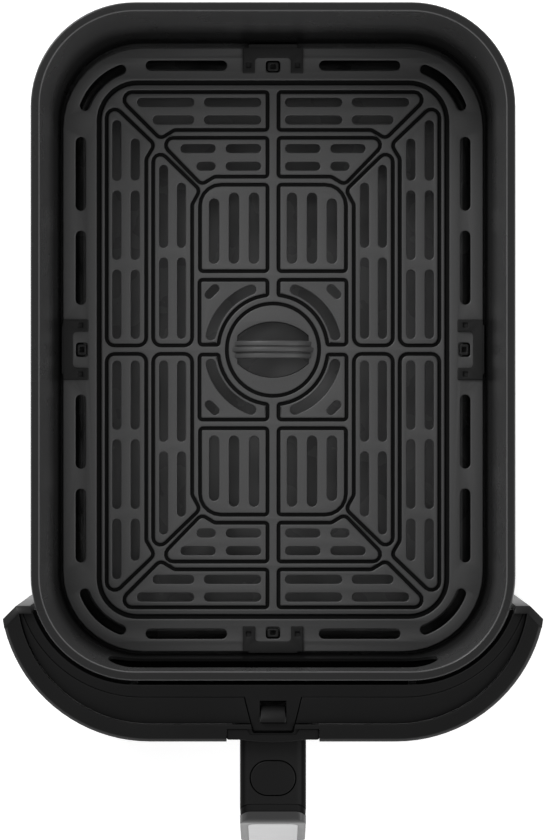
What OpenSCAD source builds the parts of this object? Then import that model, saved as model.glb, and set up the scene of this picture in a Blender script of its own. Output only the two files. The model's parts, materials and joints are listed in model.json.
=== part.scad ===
// Air fryer drawer: a deep pan with a lift-out crisper plate on four silicone clips, behind a
// wrap-around drawer front with a hooked handle and a push-button latch.
// Frame: +Z up, handle towards -Y. The origin is the centre of the pan's bottom face.

/* [Pan] */
// Width of the pan over its rim
rim_w = 250; // [246:1:254]
// Length of the pan over its rim
rim_l = 350; // [346:1:354]
// Height of the rim above the bottom face
pan_h = 105; // [104.6:0.1:105.2]
// Outer corner radius of the rim
rim_corner_r = 54; // [52:1:56]
// Width of the flat rim
rim_flat = 4.7; // [4.2:0.1:5.2]
// Sheet thickness of the pan
pan_wall = 1.5; // [1.2:0.1:1.8]
// How much each wall leans in between the rim and the ledge
wall_lean = 4.2; // [3.8:0.1:4.4]
// Height of the ledge that carries the crisper plate
ledge_z = 26; // [24:1:28]

/* [Crisper plate] */
// Width of the crisper plate
plate_w = 230; // [228:1:230]
// Length of the crisper plate
plate_l = 330.6; // [328:0.1:330.8]
// Thickness of the crisper plate
plate_t = 2.2; // [1.8:0.1:2.6]
// Width of the slots in the cells of the plate
slot_w = 4.7; // [4:0.1:5]
// Width of the slots in the border of the plate
border_slot_w = 5.5; // [4.5:0.1:6]
// Height that the finger bar rises above the plate
bar_rise = 9; // [7:0.5:11]
// Width of the finger bar
bar_w = 9.6; // [8:0.1:11]

/* [Drawer front] */
// Overall width of the drawer front
front_w = 282; // [280:1:284]
// Corner radius of the drawer front
front_r = 77.5; // [76:0.5:79]
// Height of the drawer front above the bottom face
front_top = 108; // [107.8:0.1:108.4]
// Thickness of the outer shell
shell_t = 2.5; // [2.2:0.1:2.8]
// Width of the shell's top lip
lip_w = 9; // [8.8:0.1:9.2]

/* [Handle] */
// Width of the handle
handle_w = 34.4; // [34:0.2:36]
// Height of the handle's top face
handle_top = 100; // [99.8:0.1:100.2]
// Width of the release button
button_w = 23.5; // [22:0.5:24]
// Depth of the release button
button_d = 18; // [17:0.5:18]
// Width of the metal insert
insert_w = 26; // [24:0.5:27]

/* [Hidden] */
// how far cuts run past the walls they go through
cut_top = 120;
window_cut_low = 90;
vent_cut_rear = -150;
shield_cut_rear = -140;
carrier_cut_front = -185;
carrier_cut_rear = -170;
liner_cut_front = -188;
liner_cut_rear = -180;
front_cut_rear = -190;
boss_cut_front = -198;
tongue_cut_front = -202;
tongue_cut_rear = -196;
saddle_cut_front = -204;
screw_cut_front = -204.6;
base_cut_front = -215;
shell_cut_front = -220;
$fn = 64;

// Fits
gap = 0.2;          // clearance between parts that come apart or slide
running = 0.05;     // radial clearance of a turning fit
seat = 0.02;        // radial clearance of a pin or screw in its own bore

// Pan: the lower tub sits slightly nearer the front than the rim
ledge_shift = -1.6;
ledge_w = 3.5;
rim_lip_h = 3.5;
inner_w = rim_w - 2 * rim_flat;
inner_l = rim_l - 2 * rim_flat;
inner_r = rim_corner_r - rim_flat;
end_lean = 3.3;     // how much the end walls lean in
ledge_l = inner_l - 2 * end_lean;
rim_lip_t = 1.2;
vent_half = 87.5;
vent_low = 48;
vent_high = 88;
stud_x = 60;
stud_low = 40;
stud_high = 95.5;
stud_r = 3.5;
stud_back = -169.2;
stud_bore_back = -172;
shield_gap = 1.6;    // air between the wall and the shield
shield_t = 0.8;
shield_rise = 1;     // how far the shield reaches above and below the vent
shield_side = 5.5;
rivet_x = 40;
rivet_z = 68;
rivet_r = 2;
rivet_back = -174.1;
bracket_half = 70;
bracket_low = 34;
bracket_high = 100;
bracket_window = [30, 48, 88];   // half width, low edge, high edge
pan_screw_len = 7.4;
bracket_back = -176.1;
bracket_t = 1.5;
screw_r = 1.7;
head_r = 3.2;
head_h = 2;

// Crisper plate
plate_y = -2.2;
plate_z = ledge_z + 2;
plate_top = plate_z + plate_t;
plate_r = 44;
clip_len = 33;
clip_notch = 4;
clip_reach = 14;
clip_skin = 1.3;
plug_in = 10.2;
plug_r = 3;
cut_half_x = 19.4;
cut_half_y = 15.3;
cut_arc_r = 28.5;
bar_root = 21;

// Drawer front
front_cx = front_w / 2 - front_r;
front_cy = -129.2;
wing_end = -136.6;
tip_x = 132.7;      // where the chamfer of a wing tip begins
tip_y = wing_end - (front_w - tip_x);
tip_t = 2.5;
front_low = 2;
carrier_top = pan_h;
carrier_t = 3;
carrier_wall = 2.2;
carrier_low = 32;
liner_low = 5;
liner_wall = 2.2;
liner_boss_r = 3.4;
shell_boss_front = -204.5;
flange_in = 20;     // how far the bottom flange reaches in
saddle_front = -204.8;
saddle_half = 29.9;
saddle_low = 68;
carrier_screw_len = 8;
liner_screw_len = 12;
base_screw_len = 7;
handle_screw_len = 18;
seam_r = 65;
seam_cx = 68;
seam_cy = -118.8;
pan_gap = 2.6;      // between the rim and the carrier
pan_gap_r = rim_corner_r + pan_gap;
tongue_wide = 14.8;
tongue_narrow = 10.2;
tongue_y = -201.3;
base_bulge_r = 97;
base_bulge_y = -110;
base_screw_x = 19;
base_screw_zs = [79, 98];
liner_back = -184;
liner_front = -186.05;
window_x = 6.9;
window_rear = -185.8;
window_front = -197.2;
carrier_screw_x = 20;
carrier_screw_z = 60;
boss_x = 52;
boss_low = 22;
boss_high = 90;
boss_r = 4;
saddle_y = -197;
base_y = -200;
base_front = -205.7;
base_x = 23.9;
base_low = 72;
base_top = 107;
lever_hole_x = 7.5;
lever_hole_low = 77;
lever_hole_high = 97;

// Handle, drawn from the side as [y, z]
arm_low = handle_top - 20;
arm_floor = 2;
arm_wall = 2.2;
top_t = 2.5;
bezel_y = -243.7;
grip_tilt = atan(17 / 44);
grip_t = 14;
bezel_t = 6;
grip_top = [-251, 94];
grip_len = 47.2;
grip_shelf = 84;
shelf_y = -240.5;
grip_screw_downs = [18, 36];
insert_t = 1.6;
handle_screw_x = 11;
handle_screw_z = 88;
pivot = [-241, 90];
pivot_r = 1.5;
lever_end_r = 3.5;
lever_half = 5;
lever_low = 88;
lever_high = 93;
button_y = -226;
hook_half = 6.4;
hook_rear = -188.5;
hook_front = -196.7;
hook_top = 107;

// A point a given way down the grip's front face, and a given depth into the grip
function on_grip(down, depth = 0) = [
    grip_top[0] - down * sin(grip_tilt) + depth * cos(grip_tilt),
    grip_top[1] - down * cos(grip_tilt) - depth * sin(grip_tilt)
];
// The y of a plane inside the grip, a given depth behind its front face, at a height
function grip_y(z, depth) = grip_top[0] - (grip_top[1] - z) * tan(grip_tilt) + depth / cos(grip_tilt);
// How far down the pan wall a height lies, from 0 at the rim to 1 at the ledge
function down_wall(z) = (pan_h - z) / (pan_h - ledge_z);

// ---- shared shapes ----

// A rounded rectangle lying flat, exact in its corners
module rounded_rect(w, l, r) {
    square([w - 2 * r, l], center = true);
    square([w, l - 2 * r], center = true);
    for (x = [-1, 1], y = [-1, 1]) translate([x * (w / 2 - r), y * (l / 2 - r)]) circle(r);
}

// A slot with round ends between two points
module slot(a, b, w) {
    run = b - a;
    translate(a) rotate(atan2(run[1], run[0])) {
        translate([w / 2, -w / 2]) square([norm(run) - w, w]);
        translate([w / 2, 0]) circle(w / 2);
        translate([norm(run) - w / 2, 0]) circle(w / 2);
    }
}

// A point at a radius and an angle
function polar(r, a) = [r * cos(a), r * sin(a)];

// A curved slot with round ends about the origin, as an outline of short straight sides
module arc_slot(r, w, from, to) {
    steps = 10;
    polygon(concat(
        [for (i = [0:steps]) polar(r + w / 2, from + (to - from) * i / steps)],
        [for (i = [1:5]) polar(r, to) + polar(w / 2, to + 30 * i)],
        [for (i = [0:steps]) polar(r - w / 2, to + (from - to) * i / steps)],
        [for (i = [1:5]) polar(r, from) + polar(w / 2, from + 180 + 30 * i)]
    ));
}

// Whatever is drawn in one quarter, in all four quarters
module quarters() for (x = [0, 1], y = [0, 1]) mirror([x, 0]) mirror([0, y]) children();

// Whatever is drawn on the right, on both sides
module both_sides() for (x = [0, 1]) mirror([x, 0, 0]) children();

// A shape drawn from the side as [y, z], spread over a width centred on x = 0
module across(w) translate([-w / 2, 0, 0]) rotate([90, 0, 90]) linear_extrude(w) children();

// A block given by its two corners
module block(a, b) translate(a) cube(b - a);

// A cylinder along Y, from y0 to y1
module rod_y(r, x, z, y0, y1) translate([x, y1, z]) rotate([90, 0, 0]) cylinder(r = r, h = y1 - y0);

// A pan-head screw along Y: its head is behind y, and it points towards the front
module screw_to_front(x, z, y, len) {
    rod_y(screw_r, x, z, y - len, y);
    rod_y(head_r, x, z, y, y + head_h);
}

// ---- pan ----

// A thin rounded loop at a height
module loop(w, l, r, z, y = 0) {
    for (i = [-1, 1], j = [-1, 1])
        translate([i * (w / 2 - r), y + j * (l / 2 - r), z]) cylinder(r = r, h = 0.02, $fn = 48);
}

// The leaning wall's solid between two heights, grown outwards
module wall_block(grow, z0, z1) {
    hull() {
        for (z = [z0, z1]) {
            k = down_wall(z);
            loop(inner_w - 2 * wall_lean * k + 2 * grow,
                 inner_l - (inner_l - ledge_l) * k + 2 * grow,
                 inner_r - wall_lean * k + grow, z, ledge_shift * k);
        }
    }
}

// The tub below the ledge, grown outwards and rounded into the bottom
module tub_block(grow) {
    w = inner_w - 2 * wall_lean - 2 * ledge_w;
    l = ledge_l - 2 * ledge_w;
    r = inner_r - wall_lean - ledge_w;
    hull() {
        for (s = [[0, ledge_z], [1, 12], [3.5, 5.5], [7, 2.6], [11, pan_wall]])
            loop(w - 2 * s[0] + 2 * grow, l - 2 * s[0] + 2 * grow, r - s[0] + grow,
                 s[1] - grow, ledge_shift);
    }
}

module drawer_pan() color("#262628") {
    difference() {
        union() {
            wall_block(pan_wall, ledge_z - pan_wall, pan_h - 1);
            tub_block(pan_wall);
            translate([0, 0, pan_h - pan_wall]) linear_extrude(pan_wall)
                rounded_rect(rim_w, rim_l, rim_corner_r);
            translate([0, 0, pan_h - rim_lip_h]) linear_extrude(rim_lip_h - 0.5) difference() {
                rounded_rect(rim_w, rim_l, rim_corner_r);
                rounded_rect(rim_w - 2 * rim_lip_t, rim_l - 2 * rim_lip_t, rim_corner_r - rim_lip_t);
            }
            for (x = [-stud_x, stud_x], z = [stud_low, stud_high])
                rod_y(stud_r, x, z, bracket_back, stud_back);
        }
        wall_block(0, ledge_z, pan_h + 0.5);
        tub_block(0);
        translate([0, 0, ledge_z - 0.1]) linear_extrude(0.4)
            rounded_rect(inner_w - 2 * wall_lean - 2 * ledge_w - 8, ledge_l - 2 * ledge_w - 8, 36);
        block([-vent_half, carrier_cut_front, vent_low], [vent_half, vent_cut_rear, vent_high]);
        for (x = [-stud_x, stud_x], z = [stud_low, stud_high])
            rod_y(screw_r + seat, x, z, bracket_back - 1, stud_bore_back);
    }
}

// The tray that closes the vent in the pan's front wall
module heat_shield() color("#161618") {
    intersection() {
        difference() {
            wall_block(pan_wall + shield_gap + shield_t, vent_low - shield_rise, vent_high + shield_rise);
            wall_block(pan_wall + shield_gap, vent_low - shield_rise + shield_t,
                       vent_high + shield_rise - shield_t);
            wall_block(pan_wall + running, vent_low - 2 * shield_rise, vent_high + 2 * shield_rise);
        }
        block([-vent_half - shield_side, -rim_l, 0], [vent_half + shield_side, shield_cut_rear, pan_h]);
    }
}

// Two rivets hold the shield's ends to the bracket
module shield_rivets() color("silver") {
    for (x = [-rivet_x, rivet_x]) rod_y(rivet_r, x, rivet_z, bracket_back, rivet_back);
}

module pan_bracket() color("#161618") {
    difference() {
        block([-bracket_half, bracket_back - bracket_t, bracket_low],
              [bracket_half, bracket_back, bracket_high]);
        block([-bracket_window[0], bracket_back - 5, bracket_window[1]],
              [bracket_window[0], bracket_back + 5, bracket_window[2]]);
        for (x = [-stud_x, stud_x], z = [stud_low, stud_high])
            rod_y(screw_r + gap, x, z, bracket_back - 5, bracket_back + 5);
    }
}

module pan_screws() color("silver") {
    for (x = [-stud_x, stud_x], z = [stud_low, stud_high])
        mirror([0, 1, 0]) screw_to_front(x, z, bracket_t - bracket_back + carrier_wall, pan_screw_len);
}

// ---- crisper plate ----

// The slots of one quarter of the field, as [from, to] along X or Y
module quarter_slots() {
    for (s = [[135.6, -74.5, -43.3], [135.6, -37.8, -6.6], [125.9, -65.9, -43.3], [125.9, -37.8, -6.6],
              [110.2, -50.7, -31.5], [110.2, -25.9, -6.6], [100.5, -41.9, -31.5], [100.5, -25.9, -6.6]])
        slot([s[1], s[0]], [s[2], s[0]], slot_w);
    for (s = [[-85.7, 92.7, 125.7], [-85.7, 49.2, 87.2], [-85.7, 6, 43.8],
              [-75.6, 92.7, 115.6], [-75.6, 49.2, 87.2], [-75.6, 6, 43.8],
              [-60, 55.8, 101.2], [-60, 6, 50.4], [-50.2, 55.8, 91.4], [-50.2, 6, 50.4]])
        slot([s[0], s[1]], [s[0], s[2]], slot_w);
    for (s = [[-32.3, 82.8], [-21.4, 86], [-10.4, 86]]) slot([s[0], 47.1], [s[0], s[1]], border_slot_w);
    arc_slot(35, border_slot_w, 110, 167);
    slot([-36.7, 28.5], [-30.1, 35.1], slot_w);
}

// The slots of one quarter of the border
module quarter_border() {
    x = plate_w / 2 - 9.6;
    y = plate_l / 2 - 9.6;
    slot([-x, 76.1], [-x, 116.6], border_slot_w);
    slot([-x, 24.6], [-x, 65.2], border_slot_w);
    slot([-69.8, y], [-25.2, y], border_slot_w);
    translate([plate_r - plate_w / 2, plate_l / 2 - plate_r])
        arc_slot(plate_r - 9.6, border_slot_w, 111, 159);
}

// The opening under the finger bar
module finger_opening() {
    drop = cut_arc_r - cut_half_y;
    intersection() {
        square([2 * cut_half_x, 2 * cut_half_y], center = true);
        translate([0, -drop]) circle(cut_arc_r);
        translate([0, drop]) circle(cut_arc_r);
    }
}

// The places of the four clips: where the plate's edge is, and the clip's turn
module at_clips() {
    for (s = [[0, -plate_l / 2, 0], [0, plate_l / 2, 180], [-plate_w / 2, 0, -90], [plate_w / 2, 0, 90]])
        translate([s[0], s[1]]) rotate(s[2]) children();
}

module finger_bar() {
    r = (bar_root * bar_root + bar_rise * bar_rise) / (2 * bar_rise);
    translate([0, bar_w / 2, plate_top + bar_rise - r])
        rotate([90, 0, 0]) linear_extrude(bar_w) intersection() {
        difference() {
            circle(r);
            circle(r - 2);
        }
        translate([-bar_root, r - bar_rise - plate_t + 0.2]) square([2 * bar_root, bar_rise + plate_t]);
    }
}

module crisper_plate() color("#464648") translate([0, plate_y, 0]) {
    translate([0, 0, plate_z]) linear_extrude(plate_t) difference() {
        rounded_rect(plate_w, plate_l, plate_r);
        quarters() quarter_slots();
        quarters() quarter_border();
        finger_opening();
        at_clips() {
            translate([-clip_len / 2 + 3, -1]) square([clip_len - 6, clip_notch + 1]);
            translate([0, plug_in]) circle(plug_r);
        }
    }
    finger_bar();
}

// A silicone clip for a plate edge that runs along X, with the plate on its +Y side
module clip(bump) color("#1b1b1c") {
    low = ledge_z + 0.05;
    high = plate_top + clip_skin;
    skins = [[low, plate_z - low], [plate_top, clip_skin]];
    block([-clip_len / 2 + 3, -bump, low], [clip_len / 2 - 3, clip_notch, high]);
    for (s = skins) translate([0, 0, s[0]]) {
        translate([-clip_len / 2, 0, 0]) cube([clip_len, 5, s[1]]);
        for (x = [-clip_len / 2, clip_len / 2 - 6.5]) translate([x, 0, 0]) cube([6.5, clip_reach, s[1]]);
        translate([-4, 0, 0]) cube([8, clip_reach, s[1]]);
    }
    translate([0, plug_in, low]) cylinder(r = plug_r, h = high - low);
}

module foot_front() translate([0, plate_y - plate_l / 2, 0]) clip(0.8);
module foot_rear() translate([0, plate_y + plate_l / 2, 0]) rotate(180) clip(2);
module foot_left() translate([-plate_w / 2, plate_y, 0]) rotate(-90) clip(0.8);
module foot_right() translate([plate_w / 2, plate_y, 0]) rotate(90) clip(0.8);

// ---- drawer front ----

// The front's outline from above, drawn in by an inset, with chamfered wing tips that can be cut back
module front_outline(inset, back = 0) {
    r = front_r - inset;
    intersection() {
        union() {
            for (x = [-front_cx, front_cx]) translate([x, front_cy]) circle(r);
            translate([-front_cx, front_cy - r]) square([2 * front_cx, r]);
        }
        translate([0, -back])
            polygon([[-front_w, -250], [front_w, -250], [front_w, tip_y], [tip_x, wing_end],
                                       [-tip_x, wing_end], [-front_w, tip_y]]);
    }
}

// A curve set behind the outline, with its own radius and centres, down to the wings' ends
module inner_curve(r, cx, cy) {
    intersection() {
        union() {
            for (x = [-cx, cx]) translate([x, cy]) circle(r);
            translate([-cx, cy - r]) square([2 * cx, r + 100]);
        }
        translate([-front_w, -260]) square([2 * front_w, 260 + cy + 0.1]);
    }
    translate([-cx - r, cy]) square([2 * (cx + r), 60]);
}

// The curve along which the liner and the carrier meet
module seam_curve(grow) inner_curve(seam_r + grow, seam_cx, seam_cy);

// The curve next to the pan
module pan_curve(grow) inner_curve(pan_gap_r + grow, rim_w / 2 - rim_corner_r, rim_corner_r - rim_l / 2);

module tongue(grow) {
    y = -(seam_r - seam_cy) + 1;
    polygon([[-tongue_wide - grow, y], [tongue_wide + grow, y],
             [tongue_narrow + grow, tongue_y - grow], [-tongue_narrow - grow, tongue_y - grow]]);
}

module pan_carrier() color("#1e1e20") {
    difference() {
        union() {
            translate([0, 0, carrier_top - carrier_t]) linear_extrude(carrier_t) intersection() {
                front_outline(lip_w, tip_t + gap);
                difference() {
                    seam_curve(0);
                    pan_curve(0);
                }
            }
            translate([0, 0, carrier_top - carrier_t]) linear_extrude(carrier_t) tongue(0);
            translate([0, 0, carrier_low]) linear_extrude(carrier_top - carrier_low - 1) intersection() {
                front_outline(lip_w, tip_t + gap);
                difference() {
                    pan_curve(carrier_wall);
                    pan_curve(0);
                }
            }
        }
        block([-window_x, window_front, window_cut_low], [window_x, window_rear, cut_top]);
        for (x = [-stud_x, stud_x], z = [stud_low, stud_high])
            rod_y(screw_r + gap, x, z, carrier_cut_front, carrier_cut_rear);
        for (x = [-carrier_screw_x, carrier_screw_x])
            rod_y(screw_r + gap, x, carrier_screw_z, carrier_cut_front, carrier_cut_rear);
    }
}

module carrier_screws() color("silver") {
    for (x = [-carrier_screw_x, carrier_screw_x])
        screw_to_front(x, carrier_screw_z, bracket_back - bracket_t, carrier_screw_len);
}

module front_liner() color("#1e1e20") {
    difference() {
        union() {
            translate([0, 0, carrier_top - carrier_t]) linear_extrude(carrier_t) difference() {
                front_outline(lip_w, tip_t + gap);
                seam_curve(gap);
            }
            translate([0, 0, liner_low]) linear_extrude(carrier_top - liner_low - 1) intersection() {
                front_outline(lip_w, tip_t + gap);
                difference() {
                    seam_curve(liner_wall);
                    seam_curve(gap);
                }
            }
            for (x = [-carrier_screw_x, carrier_screw_x])
                rod_y(liner_boss_r, x, carrier_screw_z, carrier_cut_front, liner_cut_rear);
        }
        for (x = [-boss_x, boss_x], z = [boss_low, boss_high])
            rod_y(screw_r + gap, x, z, front_cut_rear, liner_cut_rear);
        for (x = [-carrier_screw_x, carrier_screw_x])
            rod_y(screw_r + seat, x, carrier_screw_z, liner_cut_front, carrier_cut_rear);
        translate([0, 0, carrier_top - carrier_t - 0.1]) linear_extrude(10) tongue(gap);
    }
}

// Screws from behind the liner into the shell's bosses
module liner_screws() color("silver") {
    for (x = [-boss_x, boss_x], z = [boss_low, boss_high]) screw_to_front(x, z, liner_back, liner_screw_len);
}

module front_shell() color("#1c1c1e") {
    difference() {
        union() {
            translate([0, 0, front_low]) linear_extrude(front_top - front_low - 1) difference() {
                front_outline(0);
                front_outline(shell_t, tip_t);
                pan_curve(0);
            }
            translate([0, 0, carrier_top + 0.4])
                linear_extrude(front_top - carrier_top - 0.4) difference() {
                front_outline(0);
                front_outline(lip_w, tip_t);
                pan_curve(0);
            }
            translate([0, 0, front_low]) linear_extrude(shell_t) difference() {
                front_outline(0);
                front_outline(flange_in);
                pan_curve(0);
            }
            for (x = [-boss_x, boss_x], z = [boss_low, boss_high])
                rod_y(boss_r, x, z, shell_boss_front, liner_front);
            block([-saddle_half, saddle_front, saddle_low],
                  [saddle_half, saddle_y, carrier_top - carrier_t - 0.1]);
            block([-saddle_half, saddle_front, saddle_low],
                  [saddle_half, saddle_y - 0.9, carrier_top + 0.6]);
        }
        block([-base_x - 0.1, shell_cut_front, base_low - 0.1], [base_x + 0.1, base_y + 0.05, cut_top]);
        block([-tongue_wide, tongue_cut_front, carrier_top - carrier_t - 0.6],
              [tongue_wide, tongue_cut_rear, cut_top]);
        block([-lever_hole_x, base_cut_front, lever_hole_low],
              [lever_hole_x, front_cut_rear, lever_hole_high]);
        for (x = [-boss_x, boss_x], z = [boss_low, boss_high])
            rod_y(screw_r + seat, x, z, boss_cut_front, liner_cut_rear);
        for (x = [-base_screw_x, base_screw_x], z = base_screw_zs)
            rod_y(screw_r + gap, x, z, saddle_cut_front, front_cut_rear);
        for (x = [-handle_screw_x, handle_screw_x])
            rod_y(screw_r + gap, x, handle_screw_z, saddle_cut_front, front_cut_rear);
    }
}

// ---- handle ----

module handle_base() color("#1a1a1c") {
    difference() {
        union() {
            block([-base_x, base_front, base_low], [base_x, base_y, base_top]);
            intersection() {
                translate([0, base_bulge_y, handle_top + 0.05])
                    cylinder(r = base_bulge_r, h = base_top - handle_top - 0.05);
                block([-17, -208, handle_top], [17, base_front + 1, base_top + 1]);
            }
        }
        block([-tongue_wide + 3, tongue_y - 0.4, carrier_top - carrier_t - 0.6],
              [tongue_wide - 3, front_cut_rear, cut_top]);
        block([-lever_hole_x, base_cut_front, lever_hole_low + 3],
              [lever_hole_x, front_cut_rear, lever_hole_high]);
        for (x = [-base_screw_x, base_screw_x], z = base_screw_zs)
            rod_y(screw_r + seat, x, z, screw_cut_front, front_cut_rear);
        for (x = [-handle_screw_x, handle_screw_x])
            rod_y(screw_r + gap, x, handle_screw_z, base_cut_front, front_cut_rear);
    }
}

module base_screws() color("silver") {
    for (x = [-base_screw_x, base_screw_x], z = base_screw_zs) screw_to_front(x, z, saddle_y, base_screw_len);
}

module handle_screws() color("silver") {
    for (x = [-handle_screw_x, handle_screw_x]) screw_to_front(x, handle_screw_z, saddle_y, handle_screw_len);
}

// The round-ended outline of the release button
module button_outline(grow) {
    reach = button_w / 2 - button_d / 2;
    translate([0, button_y]) {
        square([2 * reach, button_d + 2 * grow], center = true);
        for (x = [-reach, reach]) translate([x, 0]) circle(button_d / 2 + grow);
    }
}

// The side of the top shell's walls, down to the grip
function wall_side() = [
    [base_front, arm_low + arm_floor], [shelf_y + 2, arm_low + arm_floor], [shelf_y, grip_shelf],
    [grip_y(grip_shelf, bezel_t), grip_shelf], on_grip(0.3, bezel_t + 0.05), [bezel_y + 0.02, 94.5],
    [bezel_y, handle_top - top_t], [base_front, handle_top - top_t]
];

module handle_top_shell() color("#1c1c1e") {
    difference() {
        union() {
            block([-handle_w / 2, bezel_y, handle_top - top_t - 0.01],
                  [handle_w / 2, base_front, handle_top]);
            for (x = [0, 1]) mirror([x, 0, 0]) translate([handle_w / 2 - arm_wall, 0, 0])
                rotate([90, 0, 90]) linear_extrude(arm_wall) polygon(wall_side());
        }
        translate([0, 0, handle_top - top_t - 1]) linear_extrude(top_t + 2) button_outline(gap);
    }
}

// The side of the bottom shell: the arm's floor, and the back half of the grip
function bottom_side() = [
    [base_front, arm_low], [grip_y(arm_low, grip_t) + 2, arm_low], [grip_y(arm_low - 3, grip_t), arm_low - 3],
    on_grip(grip_len - 1, grip_t), on_grip(grip_len + 1, grip_t - 2), on_grip(grip_len + 1, bezel_t),
    [grip_y(grip_shelf, bezel_t), grip_shelf], [shelf_y, grip_shelf], [shelf_y + 2, arm_low + arm_floor],
    [base_front, arm_low + arm_floor]
];

module handle_bottom_shell() color("#1a1a1c") {
    difference() {
        union() {
            across(handle_w) polygon(bottom_side());
            for (x = [-1, 1]) translate([x * 7.6 - 1.4, 0, 0])
                block([0, pivot[0] - 2.4, arm_low + 1], [2.8, pivot[0] + 3.2, pivot[1] + 3]);
            for (x = [-handle_screw_x, handle_screw_x]) {
                rod_y(3.2, x, handle_screw_z, base_front - 10, base_front);
                block([x - 1.2, base_front - 10, arm_low + 1], [x + 1.2, base_front, handle_screw_z]);
            }
        }
        translate([-12, pivot[0], pivot[1]]) rotate([0, 90, 0]) cylinder(r = pivot_r + seat, h = 24);
        for (x = [-handle_screw_x, handle_screw_x])
            rod_y(screw_r + seat, x, handle_screw_z, base_front - 9.5, base_front + 1);
        for (d = grip_screw_downs) in_grip(d) translate([0, 0, bezel_t - 1]) {
            cylinder(r = screw_r + gap, h = 20);
            translate([0, 0, 5]) cylinder(r = head_r + gap, h = 20);
        }
    }
}

// Places a shape on the grip: +Z points from the front face into the grip
module in_grip(down) {
    p = on_grip(down);
    translate([0, p[0], p[1]]) rotate([-90 - grip_tilt, 0, 0]) children();
}

module handle_bezel() color("#3c3c3e") {
    nose = [for (i = [0:6]) [-246.5 - 4.5 * sin(15 * i), 94 + (handle_top - 94) * cos(15 * i)]];
    difference() {
        across(handle_w) polygon(concat(
            [[bezel_y, 94.7], [bezel_y, handle_top]], nose,
            [on_grip(grip_len), on_grip(grip_len + 3, 2), on_grip(grip_len + 3, bezel_t),
             on_grip(0.2, bezel_t)]
        ));
        across(insert_w + 0.1) polygon([on_grip(1, -1), on_grip(grip_len - 2, -1),
                                        on_grip(grip_len - 2, insert_t), on_grip(1, insert_t)]);
        for (d = grip_screw_downs)
            in_grip(d) translate([0, 0, bezel_t - 3.4]) cylinder(r = screw_r + seat, h = 5);
    }
}

module handle_insert() color("#c8c9cb") {
    across(insert_w) polygon([on_grip(1.05, -0.2), on_grip(grip_len - 2.05, -0.2),
                              on_grip(grip_len - 2.05, insert_t - 0.01), on_grip(1.05, insert_t - 0.01)]);
}

// Two screws draw the bezel onto the bottom shell
module grip_screws() color("silver") {
    for (d = grip_screw_downs) in_grip(d) translate([0, 0, bezel_t - 3.2]) {
        cylinder(r = screw_r, h = 7.3);
        translate([0, 0, 7.2]) cylinder(r = head_r, h = head_h);
    }
}

// ---- latch ----

module release_button() color("#1e1e20") {
    flange_z = handle_top - top_t - 1.9;
    translate([0, 0, flange_z + 1.5]) linear_extrude(handle_top + 0.2 - flange_z - 1.5) button_outline(0);
    translate([0, 0, flange_z]) linear_extrude(1.6) button_outline(0.9);
    translate([-3.5, button_y, lever_high + 2.1]) rotate([0, 90, 0]) cylinder(r = 2, h = 7);
}

module latch_lever() color("#202022") {
    difference() {
        union() {
            translate([-lever_half, pivot[0], pivot[1]])
                rotate([0, 90, 0]) cylinder(r = lever_end_r, h = 2 * lever_half);
            block([-lever_half, pivot[0], lever_low], [lever_half, hook_front + 1, lever_high]);
            across(2 * hook_half) polygon(concat(
                [[hook_rear, lever_low - 2], [hook_front, lever_low - 2], [hook_front, hook_top - 3]],
                [for (i = [0:8]) [hook_front + 1.2 - 1.2 * cos(i * 11.25) + (hook_rear - hook_front - 1.2) * i / 8,
                                  hook_top - 3 + 3 * sin(90 + i * 8) - i * i / 16]]
            ));
        }
        translate([-10, pivot[0], pivot[1]]) rotate([0, 90, 0]) cylinder(r = pivot_r + running, h = 20);
    }
}

module lever_pin() color("silver") {
    translate([-9, pivot[0], pivot[1]]) rotate([0, 90, 0]) cylinder(r = pivot_r, h = 18);
}

// A small compression spring between the arm's floor and the lever
module lever_spring() color("silver") {
    low = arm_low + arm_floor + 0.05;
    high = lever_low - 0.05;
    turns = 3;
    steps = 12;
    r = 2.6;
    wire = 0.35;
    rings = turns * steps;
    points = [for (i = [0:rings], j = [0:5])
        let (a = 360 * i / steps, b = 60 * j, rr = r + wire * cos(b))
        [rr * cos(a), rr * sin(a), low + wire + (high - low - 2 * wire) * i / rings + wire * sin(b)]];
    sides = [for (i = [0:rings - 1], j = [0:5])
        [6 * i + j, 6 * i + (j + 1) % 6, 6 * (i + 1) + (j + 1) % 6, 6 * (i + 1) + j]];
    translate([0, button_y, 0])
        polyhedron(points,
                   concat(sides, [[5, 4, 3, 2, 1, 0]], [[for (j = [0:5]) 6 * rings + j]]), convexity = 6);
}

crisper_plate();
foot_front();
foot_rear();
foot_left();
foot_right();
drawer_pan();
heat_shield();
shield_rivets();
pan_bracket();
pan_screws();
pan_carrier();
carrier_screws();
front_liner();
liner_screws();
front_shell();
handle_base();
base_screws();
handle_top_shell();
handle_bottom_shell();
handle_bezel();
handle_insert();
handle_screws();
grip_screws();
release_button();
latch_lever();
lever_pin();
lever_spring();
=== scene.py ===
"""Looks of an air fryer drawer: coated pan, crisper plate on clips, moulded front and hooked handle."""
import json
import logging
import math
from dataclasses import dataclass
from enum import Enum

import bmesh
import bpy
from mathutils import Matrix, Vector

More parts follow.
